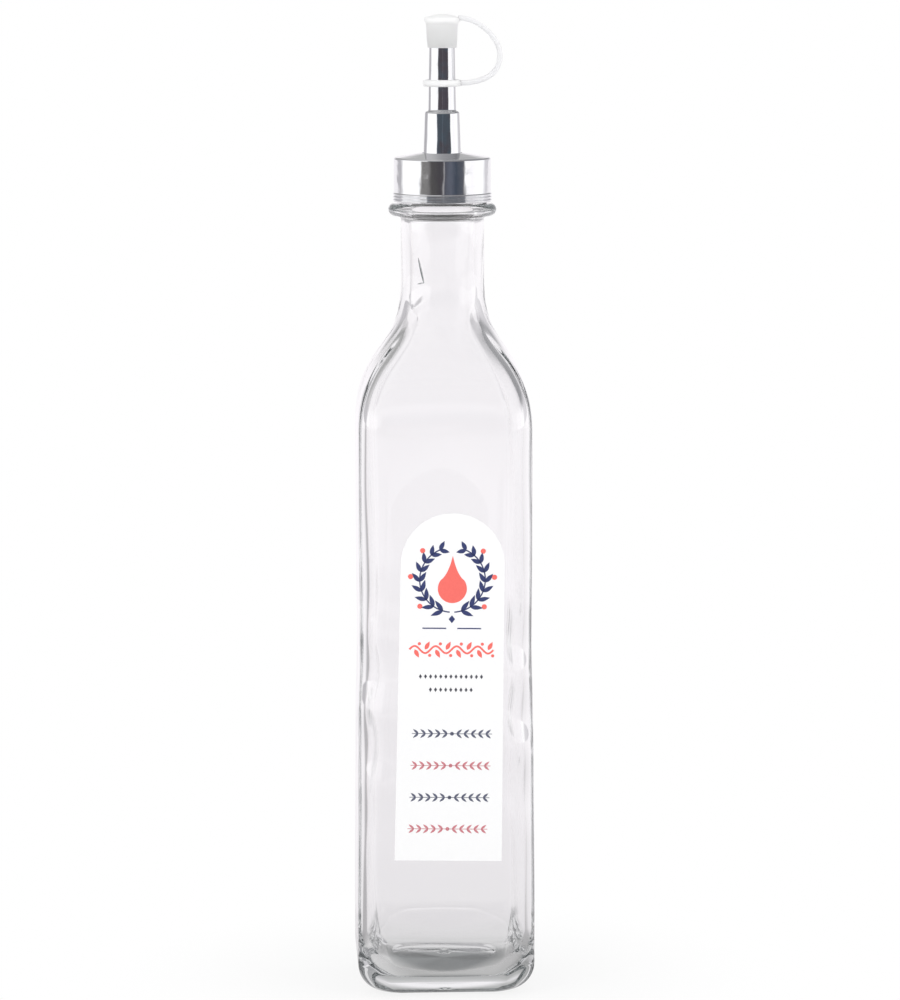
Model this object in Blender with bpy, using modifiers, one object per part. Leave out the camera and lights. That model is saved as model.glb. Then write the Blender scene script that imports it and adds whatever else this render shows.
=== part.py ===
"""Square glass oil cruet with a screw-on chromed pourer and a tethered tip cap.

Metres, +Z up. The origin is the middle of the base, and the labelled face looks along -Y.
The bottle is one moulding. Its pourer stacks up on the glass lip: washer, stopper, spout
flange, plastic liner and chromed collar. A soft moulding of ring, strap and cap closes the tip.
"""

import math

import bmesh
import bpy
from mathutils import Vector

# Clearances and facets
SEAT_GAP = 0.0003
CUT_OVERRUN = 0.001
WELD_DISTANCE = 0.00001
ROUND_STEPS = 40
SMALL_ROUND_STEPS = 28
FILLET_STEPS = 3
SHARP_ANGLE = math.radians(35)

# Bottle body: widths are across the flats
BODY_WIDTH = 0.0564
WAIST_WIDTH = 0.0560
FOOT_WIDTH = 0.0580
BODY_HEIGHT = 0.1869
CORNER_RADIUS = 0.0090
HEEL_RADIUS = 0.0080
HEEL_STEPS = 4
GLASS_WALL = 0.0028
GLASS_FLOOR = 0.0062
INNER_HEEL_RADIUS = 0.0070
STRAIGHT_STEPS = 2
CORNER_STEPS = 6

# The sides swell from the waist to the foot: (share of body height, share of the swelling)
SIDE_SWELL_SHARES = ((0.16, 1.0), (0.33, 0.74), (0.47, 0.56), (0.62, 0.0))
UPPER_SIDE_SHARE = 0.82

# Push-up under the base, with its small mould mark
PUNT_RADIUS = 0.0175
PUNT_HEIGHT = 0.0032
INNER_DOME_HEIGHT = 0.0022
MARK_RADIUS = 0.0016
MARK_HEIGHT = 0.0007
DOME_STEPS = 3

# Shoulder: (share of its height, share of body over neck, share of roundness)
SHOULDER_HEIGHT = 0.0471
SHOULDER_SHARES = (
    (0.11, 0.98, 0.02),
    (0.22, 0.92, 0.06),
    (0.32, 0.82, 0.14),
    (0.43, 0.66, 0.27),
    (0.52, 0.47, 0.45),
    (0.61, 0.28, 0.66),
    (0.69, 0.14, 0.86),
    (0.79, 0.055, 1.0),
    (0.90, 0.012, 1.0),
)

# Neck, bead and finish
NECK_DIAMETER = 0.02706
NECK_LENGTH = 0.0188
BEAD_DIAMETER = 0.0352
BEAD_HEIGHT = 0.0040
BEAD_FLARE = 0.0013
BEAD_STEPS = 4
FINISH_DIAMETER = 0.0266
FINISH_HEIGHT = 0.0081
LIP_RADIUS = 0.0010
LIP_STEPS = 2

# Paper label on the front face
LABEL_LENGTH = 0.1140
LABEL_BASE_WIDTH = 0.0349
LABEL_ARCH_WIDTH = 0.0336
LABEL_THICKNESS = 0.0002
LABEL_BASE_Z = 0.0460
LABEL_OFFSET = 0.0012
LABEL_TILT = math.radians(1.0)
LABEL_ROWS = 12
LABEL_ARCH_STEPS = 6
LABEL_COLUMNS = 4

# Washer and stopper in the mouth
WASHER_THICKNESS = 0.0012
STOPPER_FLANGE_THICKNESS = 0.0010
STOPPER_FLOOR = 0.0012
STOPPER_DEPTH = 0.0089
STOPPER_WALL = 0.0011
STOPPER_RIB_HEIGHT = 0.0004
STOPPER_RIB_PITCH = 0.0026
STOPPER_RIBS = 3
POUR_HOLE_RADIUS = 0.0031
HOLE_WEB = 0.0005
AIR_TUBE_DIAMETER = 0.0026
AIR_TUBE_WALL = 0.0005
AIR_TUBE_RISE = 0.0157

# Chromed collar and its threaded plastic liner
COLLAR_DIAMETER = 0.0316
COLLAR_WALL = 0.0005
COLLAR_CONE_RISE = 0.0021
COLLAR_SHOULDER_INSET = 0.0008
COLLAR_EDGE_RADIUS = 0.0007
COLLAR_STANDOFF = 0.0006
COLLAR_BAND_HEIGHT = 0.0029
COLLAR_BAND_RELIEF = 0.00035
COLLAR_BEADS = 3
CRIMP_LENGTH = 0.0008
LINER_WALL = 0.0007
LINER_WEB = 0.0010
LINER_WEB_WIDTH = 0.0053
STACK_SIDE_CLEARANCE = 0.0014

# Stepped spout
SPOUT_WALL = 0.00055
SPOUT_FLANGE_THICKNESS = 0.0008
SPOUT_BASE_DIAMETER = 0.0125
SPOUT_STEP_DIAMETER = 0.0112
SPOUT_UPPER_DIAMETER = 0.0090
SPOUT_TIP_DIAMETER = 0.0080
SPOUT_LOWER_LENGTH = 0.0186
SPOUT_UPPER_LENGTH = 0.0281
SPOUT_STEP_RADIUS = 0.0006
SPOUT_ROOT_RADIUS = 0.0009
SPOUT_RIM_RADIUS = 0.0002

# Tip cap with its tether
CAP_TOP_THICKNESS = 0.0029
CAP_OVERLAP = 0.0076
CAP_WALL = 0.00055
CAP_FLANGE_THICKNESS = 0.0013
CAP_FLANGE_OVERHANG = 0.00085
CAP_CROWN = 0.0012
CAP_CROWN_STEPS = 3
CAP_EDGE_RADIUS = 0.0004
TETHER_RING_RISE = 0.0091
TETHER_RING_HEIGHT = 0.0022
TETHER_RING_WALL = 0.00157
TETHER_EDGE_RADIUS = 0.0005
STRAP_REACH = 0.0196
STRAP_THICKNESS = 0.0016
STRAP_WIDTH = 0.0036
STRAP_DROP = 0.0004
STRAP_CURVE_STEPS = 8

# The strap's turning point and handles, as shares of its rise and of its run
STRAP_TURN_RISE_SHARE = 0.43
STRAP_LOW_HANDLE_SHARES = (0.61, 0.30)
STRAP_HIGH_HANDLE_SHARES = (0.51, 0.25)

# Heights that follow from the sizes above
NECK_TOP_Z = BODY_HEIGHT + SHOULDER_HEIGHT + NECK_LENGTH
BEAD_Z = NECK_TOP_Z + BEAD_FLARE + BEAD_HEIGHT / 2
BEAD_TOP_Z = BEAD_Z + BEAD_HEIGHT / 2
LIP_Z = BEAD_TOP_Z + FINISH_HEIGHT
WASHER_Z = LIP_Z + SEAT_GAP
STOPPER_Z = WASHER_Z + WASHER_THICKNESS + SEAT_GAP
SPOUT_Z = STOPPER_Z + STOPPER_FLANGE_THICKNESS + SEAT_GAP
LINER_WEB_Z = SPOUT_Z + SPOUT_FLANGE_THICKNESS + SEAT_GAP
COLLAR_SHOULDER_Z = LINER_WEB_Z + LINER_WEB + SEAT_GAP + COLLAR_WALL
COLLAR_BASE_Z = BEAD_TOP_Z + COLLAR_STANDOFF
SPOUT_STEP_Z = SPOUT_Z + SPOUT_LOWER_LENGTH
SPOUT_TIP_Z = SPOUT_STEP_Z + SPOUT_UPPER_LENGTH
TETHER_RING_Z = SPOUT_STEP_Z + TETHER_RING_RISE
CAP_SKIRT_Z = SPOUT_TIP_Z - CAP_OVERLAP
CAP_SEAT_Z = SPOUT_TIP_Z + SEAT_GAP
CAP_TOP_Z = CAP_SEAT_Z + CAP_TOP_THICKNESS

# Radii that follow from the sizes above
NECK_RADIUS = NECK_DIAMETER / 2
BORE_RADIUS = NECK_RADIUS - GLASS_WALL
FINISH_RADIUS = FINISH_DIAMETER / 2
LINER_RADIUS = COLLAR_DIAMETER / 2 - COLLAR_WALL - SEAT_GAP
LINER_BORE_RADIUS = LINER_RADIUS - LINER_WALL
STACK_RADIUS = LINER_BORE_RADIUS - STACK_SIDE_CLEARANCE
STOPPER_RADIUS = BORE_RADIUS - SEAT_GAP - STOPPER_RIB_HEIGHT
SPOUT_BASE_RADIUS = SPOUT_BASE_DIAMETER / 2
AIR_TUBE_RADIUS = AIR_TUBE_DIAMETER / 2


def clear_scene():
    """Remove whatever the scene holds before the cruet is built."""
    for old in list(bpy.data.objects):
        bpy.data.objects.remove(old, do_unlink=True)


def collection(name):
    """A new collection under the scene's own."""
    group = bpy.data.collections.new(name)
    bpy.context.scene.collection.children.link(group)
    return group


def finish(name, colour, roughness, metallic=0.0, transmission=0.0, ior=1.5):
    """A Principled material."""
    made = bpy.data.materials.new(name)
    made.use_nodes = True
    shader = made.node_tree.nodes["Principled BSDF"]
    shader.inputs["Base Color"].default_value = (*colour, 1.0)
    shader.inputs["Roughness"].default_value = roughness
    shader.inputs["Metallic"].default_value = metallic
    shader.inputs["Transmission Weight"].default_value = transmission
    shader.inputs["IOR"].default_value = ior
    made.diffuse_color = (*colour, 1.0)
    return made


def origin_of(obj):
    """World place of an object's origin. Parents are moved but never turned."""
    spot = Vector(obj.location)
    return spot + origin_of(obj.parent) if obj.parent else spot


def place(name, data, group, origin, parent=None, material=None):
    """Add an object whose world origin is given, under its parent."""
    obj = bpy.data.objects.new(name, data)
    group.objects.link(obj)
    obj.parent = parent
    obj.location = Vector(origin) - (origin_of(parent) if parent else Vector())
    if material:
        data.materials.append(material)
    return obj


def applied(obj):
    """Give the object its evaluated mesh, smooth but for its sharp edges."""
    bpy.context.view_layer.update()
    graph = bpy.context.evaluated_depsgraph_get()
    mesh = bpy.data.meshes.new_from_object(obj.evaluated_get(graph))
    mesh.name = obj.name
    old = obj.data
    obj.modifiers.clear()
    obj.data = mesh
    bpy.data.meshes.remove(old)
    mesh.shade_smooth()
    mesh.set_sharp_from_angle(angle=SHARP_ANGLE)
    return obj


def rounded(corners, steps=FILLET_STEPS):
    """Points (x, z) of an outline whose corners (x, z, radius) are rounded by arcs."""
    points = []
    for index, (x, z, radius) in enumerate(corners):
        here = Vector((x, z))
        if not radius:
            points.append(here)
            continue
        back = (Vector(corners[index - 1][:2]) - here).normalized()
        ahead = (Vector(corners[(index + 1) % len(corners)][:2]) - here).normalized()
        half = back.angle(ahead) / 2
        centre = here + (back + ahead).normalized() * (radius / math.sin(half))
        start = here + back * (radius / math.tan(half)) - centre
        sweep = math.pi - 2 * half
        if back.x * ahead.y - back.y * ahead.x > 0:
            sweep = -sweep
        for step in range(steps + 1):
            turn = sweep * step / steps
            cosine, sine = math.cos(turn), math.sin(turn)
            points.append(
                centre
                + Vector((start.x * cosine - start.y * sine, start.x * sine + start.y * cosine))
            )
    return points


def turned(name, points, group, base_z, parent, material, closed=True, steps=ROUND_STEPS):
    """A piece turned about +Z from its outline, with its origin on the axis at base_z."""
    mesh = bpy.data.meshes.new(name)
    rows = [(x, 0.0, z - base_z) for x, z in points]
    edges = [(i, i + 1) for i in range(len(rows) - 1)]
    if closed:
        edges.append((len(rows) - 1, 0))
    mesh.from_pydata(rows, edges, [])
    obj = place(name, mesh, group, (0.0, 0.0, base_z), parent, material)
    screw = obj.modifiers.new("turn", "SCREW")
    screw.axis = "Z"
    screw.steps = steps
    screw.render_steps = steps
    screw.use_merge_vertices = True
    screw.merge_threshold = WELD_DISTANCE
    return applied(obj)


def cylinder(name, radius, low_z, high_z, x, group):
    """An upright cylinder, used as a cutter."""
    mesh = bpy.data.meshes.new(name)
    shape = bmesh.new()
    bmesh.ops.create_cone(
        shape,
        cap_ends=True,
        segments=SMALL_ROUND_STEPS,
        radius1=radius,
        radius2=radius,
        depth=high_z - low_z,
    )
    shape.to_mesh(mesh)
    shape.free()
    return place(name, mesh, group, (x, 0.0, (low_z + high_z) / 2))


def cut(obj, cutter):
    """Take the cutter away from the object."""
    cutter.hide_render = True
    cutter.display_type = "WIRE"
    modifier = obj.modifiers.new("cut " + cutter.name, "BOOLEAN")
    modifier.operation = "DIFFERENCE"
    modifier.solver = "EXACT"
    modifier.object = cutter


def between(low, high, share):
    """The value that lies at this share of the way from low to high."""
    return low + (high - low) * share


def square_ring():
    """Directions of a rounded square of half-width 1 and its matching circle, once around."""
    corner = CORNER_RADIUS / (BODY_WIDTH / 2)
    flat = 1.0 - corner
    quarter = [(1.0, flat * i / STRAIGHT_STEPS) for i in range(STRAIGHT_STEPS)]
    for step in range(CORNER_STEPS + 1):
        turn = math.pi / 2 * step / CORNER_STEPS
        quarter.append((flat + corner * math.cos(turn), flat + corner * math.sin(turn)))
    quarter += [(flat * i / STRAIGHT_STEPS, 1.0) for i in range(STRAIGHT_STEPS - 1, 0, -1)]
    square = []
    for side in range(4):
        cosine = round(math.cos(side * math.pi / 2))
        sine = round(math.sin(side * math.pi / 2))
        square += [Vector((x * cosine - y * sine, x * sine + y * cosine)) for x, y in quarter]
    count = len(square)
    circle = [
        Vector((math.cos(2 * math.pi * i / count), math.sin(2 * math.pi * i / count)))
        for i in range(count)
    ]
    return square, circle


def side_stations():
    """(half-width, z, roundness) up the bottle's sides, from the heel to the shoulder."""
    foot, waist = FOOT_WIDTH / 2, WAIST_WIDTH / 2
    stations = [(foot, HEEL_RADIUS, 0.0)]
    for height_share, swell_share in SIDE_SWELL_SHARES:
        stations.append((between(waist, foot, swell_share), BODY_HEIGHT * height_share, 0.0))
    stations.append((BODY_WIDTH / 2, BODY_HEIGHT * UPPER_SIDE_SHARE, 0.0))
    stations.append((BODY_WIDTH / 2, BODY_HEIGHT, 0.0))
    return stations


def shoulder_stations():
    """(half-width, z, roundness) from the top of the sides to the bottom of the neck."""
    stations = []
    for height_share, width_share, round_share in SHOULDER_SHARES:
        half_width = between(NECK_RADIUS, BODY_WIDTH / 2, width_share)
        stations.append((half_width, BODY_HEIGHT + SHOULDER_HEIGHT * height_share, round_share))
    stations.append((NECK_RADIUS, BODY_HEIGHT + SHOULDER_HEIGHT, 1.0))
    return stations


def offset_inwards(stations, wall):
    """The same stations moved in by the wall, square to the outline through them."""
    moved = []
    for index, (half_width, z, roundness) in enumerate(stations):
        before = stations[max(index - 1, 0)]
        after = stations[min(index + 1, len(stations) - 1)]
        along = Vector((after[0] - before[0], after[1] - before[1])).normalized()
        moved.append((half_width - along.y * wall, z + along.x * wall, roundness))
    return moved


def quarter_arc(centre, z, radius, start, steps):
    """(half-width, z) along a quarter circle in the outline's plane, anticlockwise."""
    turns = [start + math.pi / 2 * i / steps for i in range(steps + 1)]
    return [(centre + radius * math.cos(t), z + radius * math.sin(t)) for t in turns]


def dome(radius, rim_z, height, mark_height, outwards):
    """Round stations of a shallow dome, with the small mark at its middle."""
    shares = [1.0 - i / (DOME_STEPS + 1) for i in range(DOME_STEPS + 1)]
    rows = [(radius * share, rim_z + height * (1.0 - share * share), 1.0) for share in shares]
    rows.append((MARK_RADIUS, rim_z + height, 1.0))
    rows.append((MARK_RADIUS / 2, rim_z + height + mark_height, 1.0))
    return rows[::-1] if outwards else rows


def bottle_stations():
    """Every ring of the bottle, out from under the base, over the lip and down inside."""
    foot = FOOT_WIDTH / 2
    outer = dome(PUNT_RADIUS, 0.0, PUNT_HEIGHT, -MARK_HEIGHT, outwards=True)
    heel = quarter_arc(foot - HEEL_RADIUS, HEEL_RADIUS, HEEL_RADIUS, -math.pi / 2, HEEL_STEPS)
    outer += [(half_width, z, 0.0) for half_width, z in heel[:-1]]
    walls = side_stations() + shoulder_stations()
    outer += walls

    bead_centre = BEAD_DIAMETER / 2 - BEAD_HEIGHT / 2
    outer.append((NECK_RADIUS, NECK_TOP_Z, 1.0))
    for step in range(BEAD_STEPS + 1):
        turn = math.pi * (step / BEAD_STEPS - 0.5)
        half_width = bead_centre + BEAD_HEIGHT / 2 * math.cos(turn)
        outer.append((half_width, BEAD_Z + BEAD_HEIGHT / 2 * math.sin(turn), 1.0))
    outer.append((FINISH_RADIUS, BEAD_TOP_Z, 1.0))

    lip_z = LIP_Z - LIP_RADIUS
    lip = quarter_arc(FINISH_RADIUS - LIP_RADIUS, lip_z, LIP_RADIUS, 0.0, LIP_STEPS)
    lip += quarter_arc(BORE_RADIUS + LIP_RADIUS, lip_z, LIP_RADIUS, math.pi / 2, LIP_STEPS)
    outer += [(half_width, z, 1.0) for half_width, z in lip]

    inner = offset_inwards(walls, GLASS_WALL)[::-1]
    inner_foot = foot - GLASS_WALL
    inner[-1] = (inner_foot, GLASS_FLOOR + INNER_HEEL_RADIUS, 0.0)
    turned_in = quarter_arc(
        inner_foot - INNER_HEEL_RADIUS,
        GLASS_FLOOR + INNER_HEEL_RADIUS,
        INNER_HEEL_RADIUS,
        -math.pi / 2,
        HEEL_STEPS,
    )
    inner += [(half_width, z, 0.0) for half_width, z in turned_in[-2::-1]]
    inner += dome(PUNT_RADIUS, GLASS_FLOOR, INNER_DOME_HEIGHT, MARK_HEIGHT, outwards=False)
    return outer + inner


def loft_bottle(group, material):
    """The glass bottle, as a loft from rounded squares to circles."""
    square, circle = square_ring()
    stations = bottle_stations()
    shape = bmesh.new()
    rings = []
    for half_width, z, roundness in stations:
        ring = []
        for corner, spoke in zip(square, circle):
            across = corner.lerp(spoke, roundness) * half_width
            ring.append(shape.verts.new((across.x, across.y, z)))
        rings.append(ring)
    for lower, upper in zip(rings, rings[1:]):
        for index in range(len(lower)):
            following = (index + 1) % len(lower)
            shape.faces.new((lower[index], lower[following], upper[following], upper[index]))
    shape.faces.new(rings[0][::-1])
    shape.faces.new(rings[-1])
    mesh = bpy.data.meshes.new("glass_bottle")
    shape.to_mesh(mesh)
    shape.free()
    mesh.shade_smooth()
    mesh.set_sharp_from_angle(angle=SHARP_ANGLE)
    return place("glass_bottle", mesh, group, (0.0, 0.0, 0.0), None, material)


def face_distance(z):
    """How far the flat faces stand from the axis at this height."""
    stations = side_stations()
    for lower, upper in zip(stations, stations[1:]):
        if z <= upper[1]:
            return between(lower[0], upper[0], (z - lower[1]) / (upper[1] - lower[1]))
    return stations[-1][0]


def label_rows():
    """(half-width, height above its base) of the arched label, from its base to its crown."""
    arch_radius = LABEL_ARCH_WIDTH / 2
    straight = LABEL_LENGTH - arch_radius
    rows = []
    for row in range(LABEL_ROWS):
        share = row / LABEL_ROWS
        rows.append((between(LABEL_BASE_WIDTH, LABEL_ARCH_WIDTH, share) / 2, straight * share))
    for step in range(LABEL_ARCH_STEPS):
        turn = math.pi / 2 * step / LABEL_ARCH_STEPS
        rows.append((arch_radius * math.cos(turn), straight + arch_radius * math.sin(turn)))
    return rows


def paper_label(group, parent, material):
    """The arched label, which follows the front face at the seat gap."""
    middle_z = LABEL_BASE_Z + LABEL_LENGTH / 2
    shape = bmesh.new()

    def point(across, height):
        """A vertex of the sheet, tilted about its middle and laid on the face."""
        up = height - LABEL_LENGTH / 2
        x = LABEL_OFFSET + across * math.cos(LABEL_TILT) + up * math.sin(LABEL_TILT)
        z = up * math.cos(LABEL_TILT) - across * math.sin(LABEL_TILT)
        return shape.verts.new((x, -face_distance(middle_z + z) - SEAT_GAP, z))

    grid = []
    for half_width, height in label_rows():
        shares = [2.0 * i / LABEL_COLUMNS - 1.0 for i in range(LABEL_COLUMNS + 1)]
        grid.append([point(half_width * share, height) for share in shares])
    for lower, upper in zip(grid, grid[1:]):
        for left in range(LABEL_COLUMNS):
            right = left + 1
            shape.faces.new((lower[left], lower[right], upper[right], upper[left]))
    crown = point(0.0, LABEL_LENGTH)
    for left in range(LABEL_COLUMNS):
        shape.faces.new((grid[-1][left], grid[-1][left + 1], crown))
    mesh = bpy.data.meshes.new("label")
    shape.to_mesh(mesh)
    shape.free()
    obj = place("label", mesh, group, (0.0, 0.0, middle_z), parent, material)
    solidify = obj.modifiers.new("paper", "SOLIDIFY")
    solidify.thickness = LABEL_THICKNESS
    solidify.offset = 1.0
    return obj


def seal_washer(group, parent, material):
    """Flat washer between the glass lip and the stopper's flange."""
    inner, top = STOPPER_RADIUS + SEAT_GAP, WASHER_Z + WASHER_THICKNESS
    points = ((STACK_RADIUS, top), (STACK_RADIUS, WASHER_Z), (inner, WASHER_Z), (inner, top))
    return turned("seal_washer", points, group, WASHER_Z, parent, material)


def spout_radius(z):
    """Outer radius of the spout's tapered stages at this height."""
    if z < SPOUT_STEP_Z:
        low_z, high_z = SPOUT_Z + SPOUT_FLANGE_THICKNESS, SPOUT_STEP_Z
        low, high = SPOUT_BASE_DIAMETER, SPOUT_STEP_DIAMETER
    else:
        low_z, high_z = SPOUT_STEP_Z, SPOUT_TIP_Z
        low, high = SPOUT_UPPER_DIAMETER, SPOUT_TIP_DIAMETER
    return between(low, high, (z - low_z) / (high_z - low_z)) / 2


def air_tube_x():
    """The air tube stands against the spout's bore, at the height where it ends."""
    top_z = STOPPER_Z + AIR_TUBE_RISE
    return -(spout_radius(top_z) - SPOUT_WALL - SEAT_GAP - AIR_TUBE_RADIUS)


def stopper(group, cutters, parent, material):
    """Ribbed plastic plug in the mouth, with a pour hole and a hole for the air tube."""
    top = STOPPER_Z + STOPPER_FLANGE_THICKNESS
    base = LIP_Z - STOPPER_DEPTH
    rib_radius = STOPPER_RADIUS + STOPPER_RIB_HEIGHT
    points = [(0.0, top), (STACK_RADIUS, top), (STACK_RADIUS, STOPPER_Z)]
    points.append((STOPPER_RADIUS, STOPPER_Z))
    for rib in range(STOPPER_RIBS):
        rib_z = LIP_Z - LIP_RADIUS - STOPPER_RIB_HEIGHT - STOPPER_RIB_PITCH * rib
        points.append((STOPPER_RADIUS, rib_z))
        points.append((rib_radius, rib_z - STOPPER_RIB_HEIGHT))
        points.append((STOPPER_RADIUS, rib_z - 3 * STOPPER_RIB_HEIGHT))
    bore = STOPPER_RADIUS - STOPPER_WALL
    floor_z = top - STOPPER_FLOOR
    points += [(STOPPER_RADIUS, base), (bore, base), (bore, floor_z), (0.0, floor_z)]
    plug = turned("stopper", points, group, STOPPER_Z, parent, material, closed=False)

    hole_x = air_tube_x()
    hole_radius = AIR_TUBE_RADIUS + SEAT_GAP
    pour_x = hole_x + hole_radius + HOLE_WEB + POUR_HOLE_RADIUS
    low_z, high_z = floor_z - CUT_OVERRUN, top + CUT_OVERRUN
    cut(plug, cylinder("pour_hole", POUR_HOLE_RADIUS, low_z, high_z, pour_x, cutters))
    cut(plug, cylinder("air_hole", hole_radius, low_z, high_z, hole_x, cutters))
    return plug


def air_tube(group, parent, material):
    """Short tube that lets air back into the bottle while it pours."""
    base = STOPPER_Z + STOPPER_FLANGE_THICKNESS - STOPPER_FLOOR
    top = STOPPER_Z + AIR_TUBE_RISE
    inner = AIR_TUBE_RADIUS - AIR_TUBE_WALL
    points = ((AIR_TUBE_RADIUS, top), (AIR_TUBE_RADIUS, base), (inner, base), (inner, top))
    tube = turned("air_tube", points, group, base, parent, material, steps=SMALL_ROUND_STEPS)
    tube.location.x = air_tube_x()
    return tube


def spout_tube(group, parent, material):
    """Two tapered stages over a flange that the collar clamps down."""
    base_top = SPOUT_Z + SPOUT_FLANGE_THICKNESS
    step, upper = SPOUT_STEP_DIAMETER / 2, SPOUT_UPPER_DIAMETER / 2
    tip, wall = SPOUT_TIP_DIAMETER / 2, SPOUT_WALL
    corners = [
        (tip, SPOUT_TIP_Z, SPOUT_RIM_RADIUS),
        (upper, SPOUT_STEP_Z, SPOUT_STEP_RADIUS),
        (step, SPOUT_STEP_Z, SPOUT_STEP_RADIUS),
        (SPOUT_BASE_RADIUS, base_top, SPOUT_ROOT_RADIUS),
        (STACK_RADIUS, base_top, 0.0),
        (STACK_RADIUS, SPOUT_Z, 0.0),
        (SPOUT_BASE_RADIUS - wall, SPOUT_Z, SPOUT_ROOT_RADIUS),
        (step - wall, SPOUT_STEP_Z - wall, 0.0),
        (upper - wall, SPOUT_STEP_Z - wall, 0.0),
        (tip - wall, SPOUT_TIP_Z, SPOUT_RIM_RADIUS),
    ]
    return turned("spout_tube", rounded(corners), group, SPOUT_Z, parent, material)


def collar_shell(group, parent, material):
    """Chromed collar: low cone, straight skirt, beaded band and a crimp under the liner."""
    radius, wall = COLLAR_DIAMETER / 2, COLLAR_WALL
    hole = SPOUT_BASE_RADIUS + SEAT_GAP
    shoulder = radius - COLLAR_SHOULDER_INSET
    cone_z = COLLAR_SHOULDER_Z + COLLAR_CONE_RISE
    edge_z = COLLAR_SHOULDER_Z - COLLAR_SHOULDER_INSET
    corners = [
        (hole, cone_z, 0.0),
        (shoulder, COLLAR_SHOULDER_Z, COLLAR_EDGE_RADIUS),
        (radius, edge_z, COLLAR_EDGE_RADIUS),
    ]
    pitch = COLLAR_BAND_HEIGHT / COLLAR_BEADS
    for bead in range(COLLAR_BEADS):
        top_z = COLLAR_BASE_Z + COLLAR_BAND_HEIGHT - pitch * bead
        corners.append((radius, top_z, 0.0))
        corners.append((radius + COLLAR_BAND_RELIEF, top_z - pitch / 3, 0.0))
        corners.append((radius + COLLAR_BAND_RELIEF, top_z - pitch * 2 / 3, 0.0))
    corners += [
        (radius, COLLAR_BASE_Z, 0.0),
        (radius - wall - CRIMP_LENGTH, COLLAR_BASE_Z, 0.0),
        (radius - wall - CRIMP_LENGTH, COLLAR_BASE_Z + wall, 0.0),
        (radius - wall, COLLAR_BASE_Z + wall, 0.0),
        (radius - wall, edge_z - wall, 0.0),
        (shoulder, COLLAR_SHOULDER_Z - wall, 0.0),
        (hole, cone_z - wall, 0.0),
    ]
    return turned("collar_shell", rounded(corners), group, COLLAR_BASE_Z, parent, material)


def collar_liner(group, parent, material):
    """Plastic liner that carries the thread and presses on the spout's flange."""
    base = COLLAR_BASE_Z + COLLAR_WALL + SEAT_GAP
    top = LINER_WEB_Z + LINER_WEB
    bore, web_bore = LINER_BORE_RADIUS, LINER_BORE_RADIUS - LINER_WEB_WIDTH
    corners = [
        (LINER_RADIUS, top, COLLAR_SHOULDER_INSET),
        (LINER_RADIUS, base, 0.0),
        (bore, base, 0.0),
        (bore, LINER_WEB_Z, 0.0),
        (web_bore, LINER_WEB_Z, 0.0),
        (web_bore, top, 0.0),
    ]
    return turned("collar_liner", rounded(corners), group, base, parent, material)


def tether_ring(group, parent, material):
    """Snug ring round the spout's upper stage."""
    low, high = TETHER_RING_Z - TETHER_RING_HEIGHT / 2, TETHER_RING_Z + TETHER_RING_HEIGHT / 2
    inner = spout_radius(low) + SEAT_GAP
    outer = inner + TETHER_RING_WALL
    corners = [
        (outer, high, TETHER_EDGE_RADIUS),
        (outer, low, TETHER_EDGE_RADIUS),
        (inner, low, 0.0),
        (inner, high, 0.0),
    ]
    points = rounded(corners)
    steps = SMALL_ROUND_STEPS
    return turned("tether_ring", points, group, TETHER_RING_Z, parent, material, steps=steps)


def tip_cap(group, parent, material):
    """Soft cap over the spout's tip, with a thick flange at its top."""
    bore = spout_radius(CAP_SKIRT_Z) + SEAT_GAP
    body = bore + CAP_WALL
    flange = body + CAP_FLANGE_OVERHANG
    rim_z = CAP_TOP_Z - CAP_CROWN
    flange_z = rim_z - CAP_FLANGE_THICKNESS
    corners = []
    for step in range(CAP_CROWN_STEPS):
        share = step / CAP_CROWN_STEPS
        corners.append((flange * share, CAP_TOP_Z - CAP_CROWN * share * share, 0.0))
    corners += [
        (flange, rim_z, CAP_EDGE_RADIUS),
        (flange, flange_z, CAP_EDGE_RADIUS),
        (body, flange_z - CAP_FLANGE_OVERHANG, CAP_EDGE_RADIUS),
        (body, CAP_SKIRT_Z, 0.0),
        (bore, CAP_SKIRT_Z, 0.0),
        (bore, CAP_SEAT_Z, 0.0),
        (0.0, CAP_SEAT_Z, 0.0),
    ]
    points = rounded(corners)
    return turned("tip_cap", points, group, CAP_SKIRT_Z, parent, material, closed=False)


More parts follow.
